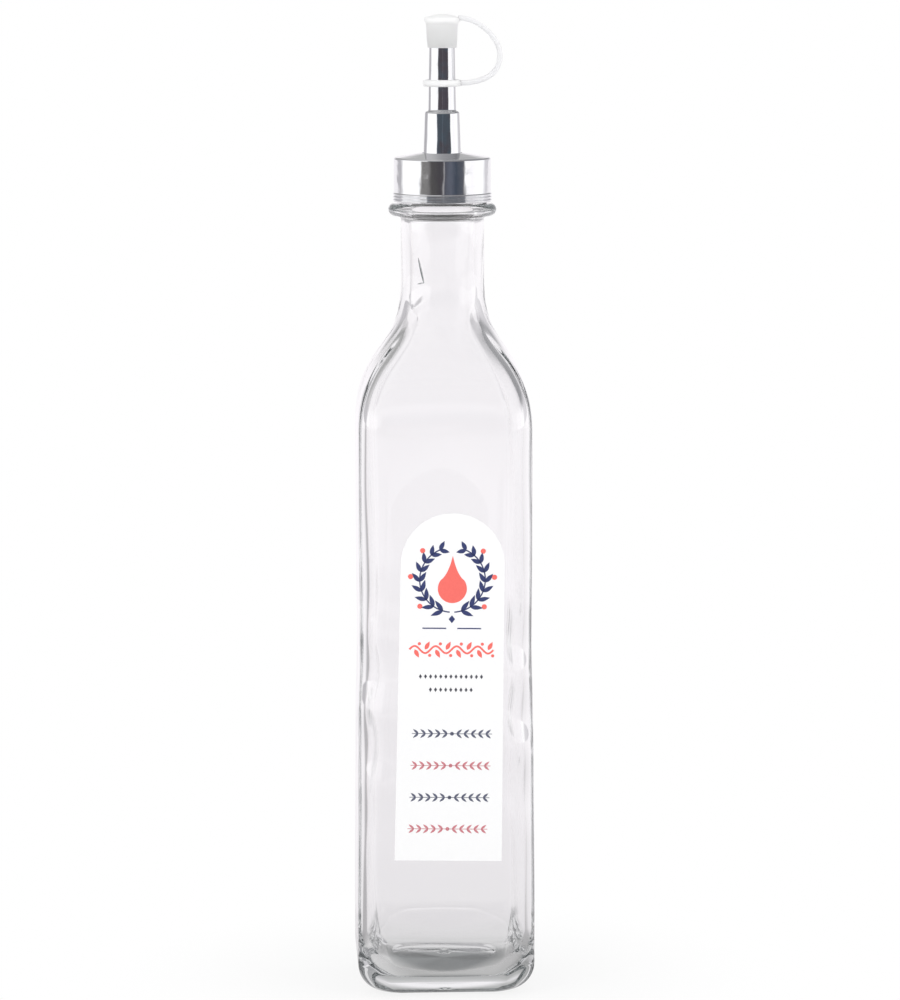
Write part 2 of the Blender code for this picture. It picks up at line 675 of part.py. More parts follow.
def tether_strap(group, parent, material):
    """Flat strap that leaves the ring level, bows out and comes back to the cap's flange."""
    ring_edge = spout_radius(TETHER_RING_Z - TETHER_RING_HEIGHT / 2) + SEAT_GAP
    ring_edge += TETHER_RING_WALL
    cap_edge = spout_radius(CAP_SKIRT_Z) + SEAT_GAP + CAP_WALL + CAP_FLANGE_OVERHANG
    low = Vector((ring_edge + SEAT_GAP, TETHER_RING_Z))
    high = Vector((cap_edge + SEAT_GAP, CAP_TOP_Z - STRAP_DROP - STRAP_THICKNESS / 2))
    turn_x = STRAP_REACH - STRAP_THICKNESS / 2
    turn = Vector((turn_x, between(low.y, high.y, STRAP_TURN_RISE_SHARE)))
    rise = high.y - low.y

    data = bpy.data.curves.new("tether_strap", "CURVE")
    data.dimensions = "2D"
    data.resolution_u = STRAP_CURVE_STEPS
    data.extrude = STRAP_WIDTH / 2
    spline = data.splines.new("BEZIER")
    spline.bezier_points.add(2)
    level, upright = STRAP_LOW_HANDLE_SHARES
    level_back, upright_back = STRAP_HIGH_HANDLE_SHARES
    low_run = Vector(((turn.x - low.x) * level, 0.0))
    high_run = Vector(((turn.x - high.x) * level_back, 0.0))
    handles = (
        (low, low - low_run, low + low_run),
        (turn, turn - Vector((0.0, rise * upright)), turn + Vector((0.0, rise * upright_back))),
        (high, high + high_run, high - high_run),
    )
    base = Vector((0.0, TETHER_RING_Z))
    for knot, (here, left, right) in zip(spline.bezier_points, handles):
        knot.handle_left_type = "FREE"
        knot.handle_right_type = "FREE"
        knot.co = (*(here - base), 0.0)
        knot.handle_left = (*(left - base), 0.0)
        knot.handle_right = (*(right - base), 0.0)
    origin = (0.0, 0.0, TETHER_RING_Z)
    strap = place("tether_strap", data, group, origin, parent, material)
    strap.rotation_euler.x = math.pi / 2
    solidify = strap.modifiers.new("thickness", "SOLIDIFY")
    solidify.thickness = STRAP_THICKNESS
    solidify.offset = 0.0
    return strap


def build():
    """Make every piece, each under the one that carries it."""
    clear_scene()
    pieces = collection("oil_cruet")
    cutters = collection("cutters")

    glass = finish("clear_glass", (0.95, 0.97, 0.96), 0.02, transmission=1.0)
    paper = finish("white_paper", (0.93, 0.93, 0.93), 0.6)
    chrome = finish("chromed_steel", (0.80, 0.81, 0.83), 0.07, metallic=1.0)
    steel = finish("polished_steel", (0.76, 0.77, 0.79), 0.1, metallic=1.0)
    hard_plastic = finish("white_plastic", (0.85, 0.85, 0.84), 0.4)
    tube_plastic = finish("tube_plastic", (0.80, 0.82, 0.84), 0.3)
    silicone = finish("silicone", (0.75, 0.76, 0.77), 0.5)
    soft_plastic = finish("soft_plastic", (0.92, 0.93, 0.94), 0.35, transmission=0.4)

    bottle = loft_bottle(pieces, glass)
    paper_label(pieces, bottle, paper)
    plug = stopper(pieces, cutters, bottle, hard_plastic)
    seal_washer(pieces, plug, silicone)
    air_tube(pieces, plug, tube_plastic)
    spout = spout_tube(pieces, plug, steel)
    collar = collar_shell(pieces, spout, chrome)
    collar_liner(pieces, collar, hard_plastic)
    ring = tether_ring(pieces, spout, soft_plastic)
    tether_strap(pieces, ring, soft_plastic)
    tip_cap(pieces, ring, soft_plastic)


build()
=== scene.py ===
"""The looks of a square glass oil cruet with a chromed pourer and a tethered tip cap.

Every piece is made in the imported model's own frame: metres, +Z up, the labelled face along -Y.
"""

import functools
import logging
import math
from dataclasses import dataclass
from enum import Enum
from typing import Any, Mapping, Sequence

import bmesh
import bpy
import numpy as np
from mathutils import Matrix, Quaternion, Vector

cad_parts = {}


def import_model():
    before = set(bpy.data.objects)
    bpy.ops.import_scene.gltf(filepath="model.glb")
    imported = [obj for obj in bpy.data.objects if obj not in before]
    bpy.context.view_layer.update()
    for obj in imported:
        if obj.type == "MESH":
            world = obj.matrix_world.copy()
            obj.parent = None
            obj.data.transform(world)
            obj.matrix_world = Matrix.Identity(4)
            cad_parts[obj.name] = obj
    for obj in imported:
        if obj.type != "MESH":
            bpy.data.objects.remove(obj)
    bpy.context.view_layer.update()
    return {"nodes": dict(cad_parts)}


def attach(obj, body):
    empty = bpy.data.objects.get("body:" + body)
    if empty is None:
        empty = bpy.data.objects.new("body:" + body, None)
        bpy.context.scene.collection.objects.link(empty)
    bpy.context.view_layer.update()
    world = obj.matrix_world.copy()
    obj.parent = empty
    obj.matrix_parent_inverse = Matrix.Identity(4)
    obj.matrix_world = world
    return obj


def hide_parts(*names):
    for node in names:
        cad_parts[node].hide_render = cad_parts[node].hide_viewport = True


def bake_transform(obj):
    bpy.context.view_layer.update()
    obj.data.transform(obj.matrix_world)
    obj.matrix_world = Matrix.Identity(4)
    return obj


LOG = logging.getLogger("oil_cruet")
MM = 0.001

# Points closer than this are joined, and edges shorter than this are taken out
WELD = 1e-7
SLIVER = 1e-8

# Two coordinates or sizes, three coordinates, a ring's half-width with its height and roundness,
# corners with their x, z and radius, a colour, and colours with the place of each
Pair = tuple[float, float]
Point = tuple[float, float, float]
Row = tuple[float, float, float]
Outline = Sequence[tuple[float, float, float]]
Colour = tuple[float, float, float]
Cards = Sequence[tuple[float, Colour]]


class Body(Enum):
    """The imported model's bodies that pieces ride on."""

    BOTTLE = "bottle"
    SPOUT = "spout"
    COLLAR = "collar"
    TETHER = "tether"
    CAP = "cap"


class Ink(Enum):
    """The label's printing inks, as linear colours."""

    CORAL = (0.93, 0.15, 0.125)
    NAVY = (0.030, 0.043, 0.155)
    SLATE = (0.10, 0.11, 0.17)
    ROSE = (0.58, 0.20, 0.23)
    GREY = (0.07, 0.07, 0.09)


# Node trees


class Wiring:
    """Adds nodes to one node tree and joins them."""

    def __init__(self, tree: bpy.types.NodeTree) -> None:
        """Keeps the tree that the nodes go into."""
        self.tree = tree

    def add(
        self,
        kind: str,
        inputs: Mapping[str | int, Any] | None = None,
        **settings: Any,
    ) -> bpy.types.Node:
        """Adds one node.

        Args:
            kind: Blender's name of the node type.
            inputs: A value, or the socket to read, for each input by name or place.
            settings: The node's own properties.

        Returns:
            The new node.
        """
        node = self.tree.nodes.new(kind)
        for name, value in settings.items():
            setattr(node, name, value)
        for name, value in (inputs or {}).items():
            if isinstance(value, bpy.types.NodeSocket):
                self.tree.links.new(value, node.inputs[name])
            else:
                node.inputs[name].default_value = value
        return node

    def math(self, operation: str, *values: Any) -> bpy.types.NodeSocket:
        """Adds a Math node and returns its result."""
        node = self.add("ShaderNodeMath", dict(enumerate(values)), operation=operation)
        return node.outputs[0]

    def ramp(self, share: Any, stops: Cards) -> bpy.types.NodeSocket:
        """Adds a colour ramp.

        Args:
            share: The socket that is read, from 0 to 1.
            stops: Each stop's place and colour, in order.

        Returns:
            The ramp's colour.
        """
        node = self.add("ShaderNodeValToRGB", {0: share})
        elements = node.color_ramp.elements
        while len(elements) < len(stops):
            elements.new(1.0)
        for element, (place, colour) in zip(elements, stops):
            element.position = place
            element.color = (*colour, 1.0)
        return node.outputs[0]


def shared_group(
    name: str, inputs: Mapping[str, Any], outputs: Sequence[str]
) -> tuple[bpy.types.NodeTree, Wiring, bpy.types.Node, bpy.types.Node]:
    """Starts a shader node group.

    Args:
        name: The group's name.
        inputs: Each input's name and default: a number, or a colour of four numbers.
        outputs: The names of its outputs. One named Color is a colour, the others are numbers.

    Returns:
        The tree, its wiring, its input node and its output node.
    """
    tree = bpy.data.node_groups.new(name, "ShaderNodeTree")
    for label, default in inputs.items():
        kind = "NodeSocketFloat" if isinstance(default, (int, float)) else "NodeSocketColor"
        socket = tree.interface.new_socket(label, in_out="INPUT", socket_type=kind)
        socket.default_value = default
    for label in outputs:
        kind = "NodeSocketColor" if label == "Color" else "NodeSocketFloat"
        tree.interface.new_socket(label, in_out="OUTPUT", socket_type=kind)
    wiring = Wiring(tree)
    return tree, wiring, wiring.add("NodeGroupInput"), wiring.add("NodeGroupOutput")


def mottle_group() -> bpy.types.NodeTree:
    """Soft patches of a second colour, with a fine tooth for the surface's relief.

    Returns:
        The group, made the first time it is asked for.
    """
    name = "soft_mottle"
    if name in bpy.data.node_groups:
        return bpy.data.node_groups[name]
    defaults = {"Color": (1, 1, 1, 1), "Patch": (1, 1, 1, 1), "Scale": 200.0, "Tooth": 4000.0}
    tree, wiring, given, result = shared_group(name, defaults, ("Color", "Height"))
    place = wiring.add("ShaderNodeTexCoord").outputs["Object"]
    patches = wiring.add(
        "ShaderNodeTexNoise", {"Vector": place, "Scale": given.outputs["Scale"], "Detail": 4.0}
    )
    tooth = wiring.add(
        "ShaderNodeTexNoise", {"Vector": place, "Scale": given.outputs["Tooth"], "Detail": 2.0}
    )
    mixed = wiring.add(
        "ShaderNodeMix",
        {0: patches.outputs[0], 6: given.outputs["Color"], 7: given.outputs["Patch"]},
        data_type="RGBA",
    )
    tree.links.new(mixed.outputs[2], result.inputs["Color"])
    tree.links.new(tooth.outputs[0], result.inputs["Height"])
    return tree


def handling_group() -> bpy.types.NodeTree:
    """Smudges and fine turning marks that spread a polished surface's roughness.

    Returns:
        The group, made the first time it is asked for.
    """
    name = "handling_marks"
    if name in bpy.data.node_groups:
        return bpy.data.node_groups[name]
    defaults = {"Roughness": 0.1, "Spread": 0.1, "Smudges": 120.0, "Lines": 2500.0}
    tree, wiring, given, result = shared_group(name, defaults, ("Roughness", "Height"))
    place = wiring.add("ShaderNodeTexCoord").outputs["Object"]
    smudges = wiring.add(
        "ShaderNodeTexNoise", {"Vector": place, "Scale": given.outputs["Smudges"], "Detail": 5.0}
    )
    round_the_axis = (0.03, 0.03, 1.0)
    stretched = wiring.add(
        "ShaderNodeVectorMath", {0: place, 1: round_the_axis}, operation="MULTIPLY"
    )
    lines = wiring.add(
        "ShaderNodeTexNoise",
        {"Vector": stretched.outputs[0], "Scale": given.outputs["Lines"], "Detail": 3.0},
    )
    both = wiring.math("MULTIPLY", smudges.outputs[0], lines.outputs[0])
    spread = wiring.math("MULTIPLY", both, given.outputs["Spread"])
    rough = wiring.math("ADD", spread, given.outputs["Roughness"])
    tree.links.new(rough, result.inputs["Roughness"])
    tree.links.new(lines.outputs[0], result.inputs["Height"])
    return tree


def ripple_group() -> bpy.types.NodeTree:
    """Long, faint ripples that a mould leaves in glass and plastic.

    Returns:
        The group, made the first time it is asked for.
    """
    name = "mould_ripples"
    if name in bpy.data.node_groups:
        return bpy.data.node_groups[name]
    defaults = {"Scale": 60.0, "Stretch": 0.25}
    tree, wiring, given, result = shared_group(name, defaults, ("Height",))
    place = wiring.add("ShaderNodeTexCoord").outputs["Object"]
    along = wiring.add("ShaderNodeCombineXYZ", {0: 1.0, 1: 1.0, 2: given.outputs["Stretch"]})
    stretched = wiring.add(
        "ShaderNodeVectorMath", {0: place, 1: along.outputs[0]}, operation="MULTIPLY"
    )
    waves = wiring.add(
        "ShaderNodeTexNoise",
        {"Vector": stretched.outputs[0], "Scale": given.outputs["Scale"], "Detail": 1.0},
    )
    tree.links.new(waves.outputs[0], result.inputs["Height"])
    return tree


# Finishes


@dataclass(frozen=True)
class Finish:
    """What every finish shares: a name and a way to make its material once."""

    name: str

    def material(self) -> bpy.types.Material:
        """The finish's material.

        Returns:
            The material, made the first time it is asked for.
        """
        if self.name in bpy.data.materials:
            return bpy.data.materials[self.name]
        made = bpy.data.materials.new(self.name)
        made.use_nodes = True
        wiring = Wiring(made.node_tree)
        shader = made.node_tree.nodes["Principled BSDF"]
        self.wire(wiring, shader, made.node_tree.nodes["Material Output"])
        return made

    def wire(self, wiring: Wiring, shader: bpy.types.Node, output: bpy.types.Node) -> None:
        """Sets up the shader. Each finish has its own."""
        raise NotImplementedError

    @staticmethod
    def relief(
        wiring: Wiring, shader: bpy.types.Node, height: Any, strength: float, depth: float
    ) -> None:
        """Joins a height to the shader's normal, over any relief that is there already.

        Args:
            wiring: The material's wiring.
            shader: The Principled node.
            height: The socket with the height.
            strength: How strongly the relief shows.
            depth: The relief's depth in metres.
        """
        bump = wiring.add(
            "ShaderNodeBump", {"Height": height, "Strength": strength, "Distance": depth}
        )
        for link in shader.inputs["Normal"].links:
            wiring.tree.links.new(link.from_socket, bump.inputs["Normal"])
        wiring.tree.links.new(bump.outputs[0], shader.inputs["Normal"])


@dataclass(frozen=True)
class GlassFinish(Finish):
    """Clear soda-lime glass, faintly grey-green where it is thick."""

    tint: Colour = (0.997, 0.997, 0.998)
    depth_tint: Colour = (0.82, 0.85, 0.85)
    depth_density: float = 7.0
    roughness: float = 0.0
    ior: float = 1.5
    ripple_strength: float = 0.6
    ripple_depth: float = 0.04 * MM

    def wire(self, wiring: Wiring, shader: bpy.types.Node, output: bpy.types.Node) -> None:
        """Refracting glass with mould ripples and a plain absorption.

        Args:
            wiring: The material's wiring.
            shader: Its Principled node.
            output: Its output node.
        """
        shader.inputs["Base Color"].default_value = (*self.tint, 1.0)
        shader.inputs["Roughness"].default_value = self.roughness
        shader.inputs["IOR"].default_value = self.ior
        shader.inputs["Transmission Weight"].default_value = 1.0
        ripples = wiring.add("ShaderNodeGroup", node_tree=ripple_group())
        height = ripples.outputs["Height"]
        self.relief(wiring, shader, height, self.ripple_strength, self.ripple_depth)
        depth = wiring.add(
            "ShaderNodeVolumeAbsorption",
            {"Color": (*self.depth_tint, 1.0), "Density": self.depth_density},
        )
        wiring.tree.links.new(depth.outputs[0], output.inputs["Volume"])


@dataclass(frozen=True)
class CoatedFinish(Finish):
    """A matt or satin surface with faint patches: paper, ink and hard plastic."""

    colour: Colour = (0.9, 0.9, 0.9)
    patch: Colour = (0.88, 0.88, 0.88)
    patch_scale: float = 200.0
    tooth_scale: float = 4000.0
    tooth_strength: float = 0.4
    tooth_depth: float = 0.02 * MM
    roughness: float = 0.6
    subsurface: float = 0.0
    subsurface_reach: float = 1.0 * MM

    def wire(self, wiring: Wiring, shader: bpy.types.Node, output: bpy.types.Node) -> None:
        """Mottled colour over a fine tooth.

        Args:
            wiring: The material's wiring.
            shader: Its Principled node.
            output: Its output node.
        """
        values = {
            "Color": (*self.colour, 1.0),
            "Patch": (*self.patch, 1.0),
            "Scale": self.patch_scale,
            "Tooth": self.tooth_scale,
        }
        mottle = wiring.add("ShaderNodeGroup", node_tree=mottle_group())
        for label, value in values.items():
            mottle.inputs[label].default_value = value
        wiring.tree.links.new(mottle.outputs["Color"], shader.inputs["Base Color"])
        shader.inputs["Roughness"].default_value = self.roughness
        shader.inputs["Subsurface Weight"].default_value = self.subsurface
        shader.inputs["Subsurface Radius"].default_value = (self.subsurface_reach,) * 3
        height = mottle.outputs["Height"]
        self.relief(wiring, shader, height, self.tooth_strength, self.tooth_depth)


@dataclass(frozen=True)
class PolishedFinish(Finish):
    """Bright metal with smudges and the fine marks of turning."""

    colour: Colour = (0.86, 0.865, 0.88)
    roughness: float = 0.03
    spread: float = 0.16
    smudge_scale: float = 120.0
    line_scale: float = 2500.0
    line_depth: float = 0.0015 * MM
    wave_scale: float = 330.0
    wave_depth: float = 0.19 * MM
    wave_stretch: float = 0.45
    relief_strength: float = 0.5

    def wire(self, wiring: Wiring, shader: bpy.types.Node, output: bpy.types.Node) -> None:
        """Metal whose roughness and relief follow the handling marks.

        Args:
            wiring: The material's wiring.
            shader: Its Principled node.
            output: Its output node.
        """
        marks = wiring.add("ShaderNodeGroup", node_tree=handling_group())
        marks.inputs["Roughness"].default_value = self.roughness
        marks.inputs["Spread"].default_value = self.spread
        marks.inputs["Smudges"].default_value = self.smudge_scale
        marks.inputs["Lines"].default_value = self.line_scale
        shader.inputs["Base Color"].default_value = (*self.colour, 1.0)
        shader.inputs["Metallic"].default_value = 1.0
        wiring.tree.links.new(marks.outputs["Roughness"], shader.inputs["Roughness"])
        waves = wiring.add("ShaderNodeGroup", node_tree=ripple_group())
        waves.inputs["Scale"].default_value = self.wave_scale
        waves.inputs["Stretch"].default_value = self.wave_stretch
        for group, depth in ((waves, self.wave_depth), (marks, self.line_depth)):
            self.relief(wiring, shader, group.outputs["Height"], self.relief_strength, depth)


@dataclass(frozen=True)
class MilkyFinish(Finish):
    """Soft milky plastic that light enters and spreads in."""

    colour: Colour = (0.985, 0.985, 0.99)
    patch: Colour = (0.96, 0.96, 0.97)
    roughness: float = 0.30
    ior: float = 1.45
    softness: float = 0.9
    reach: float = 2.5 * MM
    flow_scale: float = 300.0
    ripple_strength: float = 0.4
    ripple_depth: float = 0.01 * MM

    def wire(self, wiring: Wiring, shader: bpy.types.Node, output: bpy.types.Node) -> None:
        """Light that scatters under the skin, with faint flow patches and mould ripples.

        Args:
            wiring: The material's wiring.
            shader: Its Principled node.
            output: Its output node.
        """
        mottle = wiring.add("ShaderNodeGroup", node_tree=mottle_group())
        mottle.inputs["Color"].default_value = (*self.colour, 1.0)
        mottle.inputs["Patch"].default_value = (*self.patch, 1.0)
        mottle.inputs["Scale"].default_value = self.flow_scale
        wiring.tree.links.new(mottle.outputs["Color"], shader.inputs["Base Color"])
        shader.inputs["Roughness"].default_value = self.roughness
        shader.inputs["IOR"].default_value = self.ior
        shader.inputs["Subsurface Weight"].default_value = self.softness
        shader.inputs["Subsurface Radius"].default_value = (self.reach,) * 3
        shader.inputs["Subsurface Scale"].default_value = 1.0
        ripples = wiring.add("ShaderNodeGroup", node_tree=ripple_group())
        ripples.inputs["Scale"].default_value = self.flow_scale
        height = ripples.outputs["Height"]
        self.relief(wiring, shader, height, self.ripple_strength, self.ripple_depth)


CLEAR_GLASS = GlassFinish("moulded_glass")
PAPER = CoatedFinish(
    "pressed_paper", colour=(0.97, 0.97, 0.975), patch=(0.945, 0.945, 0.95), patch_scale=900.0
)
CHROME = PolishedFinish("plated_chrome")
STEEL = PolishedFinish("drawn_steel", colour=(0.84, 0.845, 0.86), roughness=0.05)
MILKY = MilkyFinish("milky_plastic")
STRAP_PLASTIC = MilkyFinish("milky_strap", colour=(0.80, 0.80, 0.81), patch=(0.77, 0.77, 0.79))
HARD_PLASTIC = CoatedFinish(
    "hard_plastic",
    colour=(0.85, 0.85, 0.84),
    patch=(0.81, 0.81, 0.80),
    roughness=0.38,
    subsurface=0.15,
)
TUBE_PLASTIC = CoatedFinish(
    "drawn_tube", colour=(0.80, 0.82, 0.84), patch=(0.77, 0.79, 0.82), roughness=0.28
)
SILICONE = CoatedFinish(
    "soft_seal", colour=(0.75, 0.76, 0.77), patch=(0.71, 0.72, 0.73), roughness=0.5
)


def ink_finish(ink: Ink) -> CoatedFinish:
    """The finish of one printing ink, with patches a little paler than its colour.

    Args:
        ink: The ink.

    Returns:
        Its finish.
    """
    gain, lift = 1.18, 0.01
    paler = tuple(min(1.0, value * gain + lift) for value in ink.value)
    return CoatedFinish(
        f"ink_{ink.name.lower()}", colour=ink.value, patch=paler, patch_scale=1500.0, roughness=0.5
    )


# Meshes


def eased_through(
    places: Sequence[float], values: Sequence[float], at: np.ndarray
) -> np.ndarray:
    """A smooth curve through points that doesn't swing past them.

    Args:
        places: Where the points are, rising.
        values: The value at each place.
        at: Where the curve is read.

    Returns:
        The curve's value at each of those.
    """
    x, y = np.asarray(places, float), np.asarray(values, float)
    gaps = np.diff(x)
    slopes = np.diff(y) / gaps
    tangents = np.zeros_like(y)
    tangents[0], tangents[-1] = slopes[0], slopes[-1]
    for i in range(1, len(x) - 1):
        if slopes[i - 1] * slopes[i] > 0:
            near, far = 2 * gaps[i] + gaps[i - 1], gaps[i] + 2 * gaps[i - 1]
            tangents[i] = (near + far) / (near / slopes[i - 1] + far / slopes[i])
    span = np.clip(np.searchsorted(x, at) - 1, 0, len(gaps) - 1)
    step = gaps[span]
    t = (at - x[span]) / step
    return (
        (1 + 2 * t) * (1 - t) ** 2 * y[span]
        + t * (1 - t) ** 2 * step * tangents[span]
        + t**2 * (3 - 2 * t) * y[span + 1]
        + t**2 * (t - 1) * step * tangents[span + 1]
    )


def rounded(corners: Outline, steps: int = 6) -> list[Pair]:
    """Rounds an outline's corners by arcs.

    Args:
        corners: Each corner's x, z and radius.
        steps: Straight pieces in each arc.

    Returns:
        The outline's points as x and z.
    """
    points: list[Pair] = []
    for index, (x, z, radius) in enumerate(corners):
        here = Vector((x, z))
        if not radius:
            points.append((x, z))
            continue
        back = (Vector(corners[index - 1][:2]) - here).normalized()
        ahead = (Vector(corners[(index + 1) % len(corners)][:2]) - here).normalized()
        half = back.angle(ahead) / 2
        centre = here + (back + ahead).normalized() * (radius / math.sin(half))
        start = here + back * (radius / math.tan(half)) - centre
        sweep = math.pi - 2 * half
        if back.x * ahead.y - back.y * ahead.x > 0:
            sweep = -sweep
        for step in range(steps + 1):
            turn = sweep * step / steps
            spoke = Vector(
                (
                    start.x * math.cos(turn) - start.y * math.sin(turn),
                    start.x * math.sin(turn) + start.y * math.cos(turn),
                )
            )
            points.append(tuple(centre + spoke))
    return points


def held(points: Sequence[Pair], looped: bool) -> list[Pair]:
    """Adds points near the ends of long straight runs, so that smooth shading keeps them true.

    Args:
        points: An outline's x and z.
        looped: True if the last point joins the first.

    Returns:
        The outline with the added points.
    """
    long_run, hold = 0.8 * MM, 0.12 * MM
    kept: list[Pair] = []
    for index, start in enumerate(points):
        kept.append(tuple(start))
        if index + 1 == len(points) and not looped:
            break
        end = points[(index + 1) % len(points)]
        run = math.dist(start, end)
        if run > long_run:
            for share in (hold / run, 1 - hold / run):
                kept.append(tuple(a + (b - a) * share for a, b in zip(start, end)))
    return kept


def ringed_mesh(name: str, rings: np.ndarray, looped: bool, sharp: float = 40.0) -> bpy.types.Mesh:
    """A closed mesh through rings of points.

    Args:
        name: The mesh's name.
        rings: Points, as an array of rings by points by three.
        looped: True if the last ring joins the first. Otherwise each end is closed.
        sharp: The angle in degrees past which an edge stays sharp.

    Returns:
        The mesh, with its normals outwards.
    """
    count, around = rings.shape[:2]
    starts = range(count if looped else count - 1)
    faces = [
        (
            r * around + i,
            r * around + (i + 1) % around,
            (r + 1) % count * around + (i + 1) % around,
            (r + 1) % count * around + i,
        )
        for r in starts
        for i in range(around)
    ]
    if not looped:
        faces.append(tuple(range(around))[::-1])
        faces.append(tuple(range((count - 1) * around, count * around)))
    mesh = bpy.data.meshes.new(name)
    mesh.from_pydata(rings.reshape(-1, 3).tolist(), [], faces)
    shape = bmesh.new()
    shape.from_mesh(mesh)
    bmesh.ops.remove_doubles(shape, verts=shape.verts, dist=WELD)
    bmesh.ops.dissolve_degenerate(shape, edges=shape.edges, dist=SLIVER)
    bmesh.ops.recalc_face_normals(shape, faces=shape.faces)
    shape.to_mesh(mesh)
    shape.free()
    mesh.shade_smooth()
    mesh.set_sharp_from_angle(angle=math.radians(sharp))
    return mesh


def turned_mesh(
    name: str, points: Sequence[Pair], steps: int = 96, looped: bool = True
) -> bpy.types.Mesh:
    """A mesh turned about the bottle's axis.

    Args:
        name: The mesh's name.
        points: The outline's x and z.
        steps: Flat pieces round the turn.
        looped: True for a closed outline, False for one that starts and ends on the axis.

    Returns:
        The mesh.
    """
    turns = np.linspace(0, 2 * math.pi, steps, endpoint=False)
    outline = np.array(held(points, looped))
    rings = np.stack(
        [
            outline[:, :1] * np.cos(turns),
            outline[:, :1] * np.sin(turns),
            np.repeat(outline[:, 1:], steps, axis=1),
        ],
        axis=2,
    )
    return ringed_mesh(name, rings, looped)


def dressed(
    mesh: bpy.types.Mesh,
    finish: Finish,
    body: Body,
    replaced: Sequence[str] = (),
) -> bpy.types.Object:
    """Puts a mesh in the scene as a piece of the cruet.

    Args:
        mesh: The piece's mesh, in the row frame.
        finish: What it is finished in.
        body: The body that it rides on.
        replaced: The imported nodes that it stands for.

    Returns:
        The piece.
    """
    piece = bpy.data.objects.new(mesh.name, mesh)
    bpy.context.scene.collection.objects.link(piece)
    mesh.materials.append(finish.material())
    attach(piece, body.value)
    if replaced:
        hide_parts(*replaced)
    LOG.info("%s: %d faces on %s", piece.name, len(mesh.polygons), body.value)
    return piece


# Sub-assemblies


@dataclass
class ThreadSizes:
    """The screw thread that the glass finish and the collar's liner share."""

    pitch: float = 3.18 * MM
    turns: float = 1.5
    start_z: float = 260.0 * MM
    ridge_height: float = 0.7 * MM
    ridge_half_width: float = 0.85 * MM
    flank_steepness: float = 1.6
    run_out_turns: float = 0.12

    def ridge(self, turn: np.ndarray, z: float) -> np.ndarray:
        """How high the ridge stands on the glass.

        Args:
            turn: The angle about the axis, in radians, from 0 to a full turn.
            z: The height that is asked about.

        Returns:
            The ridge's height at each angle.
        """
        height = np.zeros_like(turn)
        for lap in range(math.ceil(self.turns)):
            along = turn / (2 * math.pi) + lap
            off = np.abs(z - self.start_z - self.pitch * along) / self.ridge_half_width
            ends = np.minimum(along, self.turns - along) / self.run_out_turns
            crest = np.clip(self.flank_steepness * (1 - off), 0, 1)
            height = np.maximum(height, crest * np.clip(ends, 0, 1))
        return height * self.ridge_height


@dataclass(frozen=True)
class FlowMark:
    """A crease left on the inside of the glass by the way it flowed into the mould.

    Its turn and its height say where its middle is. Its slant is how far it goes round for each
    step up.
    """

    turn: float
    z: float
    slant: float
    width: float
    length: float
    depth: float

    def depth_at(self, turns: np.ndarray, z: float, radius: float) -> np.ndarray:
        """How far the crease sinks into the glass round one ring of the surface.

        Args:
            turns: Directions of the ring's points, in radians from +X.
            z: The ring's height.
            radius: The ring's half-width.

        Returns:
            The depth at each point.
        """
        up = z - self.z
        away = (turns - self.turn + math.pi) % (2 * math.pi) - math.pi
        across = away * radius - self.slant * up
        return self.depth * np.exp(-((across / self.width) ** 2) - (up / self.length) ** 2)


FLOW_MARKS = (
    FlowMark(
        turn=math.radians(232), z=226.0 * MM, slant=0.9,
        width=1.8 * MM, length=3.0 * MM, depth=0.35 * MM,
    ),
    FlowMark(
        turn=math.radians(222), z=221.0 * MM, slant=-0.7,
        width=1.6 * MM, length=3.5 * MM, depth=-0.30 * MM,
    ),
    FlowMark(
        turn=math.radians(312), z=223.0 * MM, slant=0.5,
        width=1.8 * MM, length=5.0 * MM, depth=0.20 * MM,
    ),
)


@dataclass(frozen=True)
class DrawnBubble:
    """A thin air bubble that was drawn out in the glass of the neck."""

    name: str
    turn: float
    radius: float
    z: float
    lean: float
    length: float
    girth: float
    ring_points: int = 16
    ring_count: int = 15
    last_ring: float = 0.49 * math.pi

    def build(self) -> bpy.types.Object:
        """Makes the bubble, with its normals towards the air in it.

        Returns:
            The bubble.
        """
        outward = np.array((math.cos(self.turn), math.sin(self.turn), 0.0))
        sideways = np.array((-math.sin(self.turn), math.cos(self.turn), 0.0))
        along = sideways * math.sin(self.lean) + np.array((0.0, 0.0, math.cos(self.lean)))
        across = np.cross(along, outward)
        middle = outward * self.radius + np.array((0.0, 0.0, self.z))
        turns = np.linspace(0, 2 * math.pi, self.ring_points, endpoint=False)
        rings = []
        for angle in np.linspace(-self.last_ring, self.last_ring, self.ring_count):
            around = np.outer(np.cos(turns), outward) + np.outer(np.sin(turns), across)
            centre = middle + along * (self.length / 2 * math.sin(angle))
            rings.append(centre + around * (self.girth / 2 * math.cos(angle)))
        mesh = ringed_mesh(self.name, np.array(rings), looped=False)
        mesh.flip_normals()
        return dressed(mesh, CLEAR_GLASS, Body.BOTTLE)


BUBBLES = (
    DrawnBubble(
        "neck_bubble", turn=math.radians(234), radius=12.0 * MM, z=236.9 * MM,
        lean=math.radians(-14), length=8.6 * MM, girth=0.7 * MM,
    ),
    DrawnBubble(
        "neck_seed", turn=math.radians(233), radius=12.0 * MM, z=232.7 * MM,
        lean=math.radians(78), length=2.2 * MM, girth=0.45 * MM,
    ),
)


# The waves in the glass: size, number round the bottle, radians for each centimetre up, start
UNEVENNESS = ((0.45, 4, 0.55, 1.0), (0.35, 7, -0.9, 2.1), (0.20, 3, 1.7, 3.7))

# How far the foot's swell has come at each share of the body's height
SWELL = ((0.0428, 1.0), (0.16, 1.0), (0.33, 0.74), (0.47, 0.56), (0.62, 0.0))

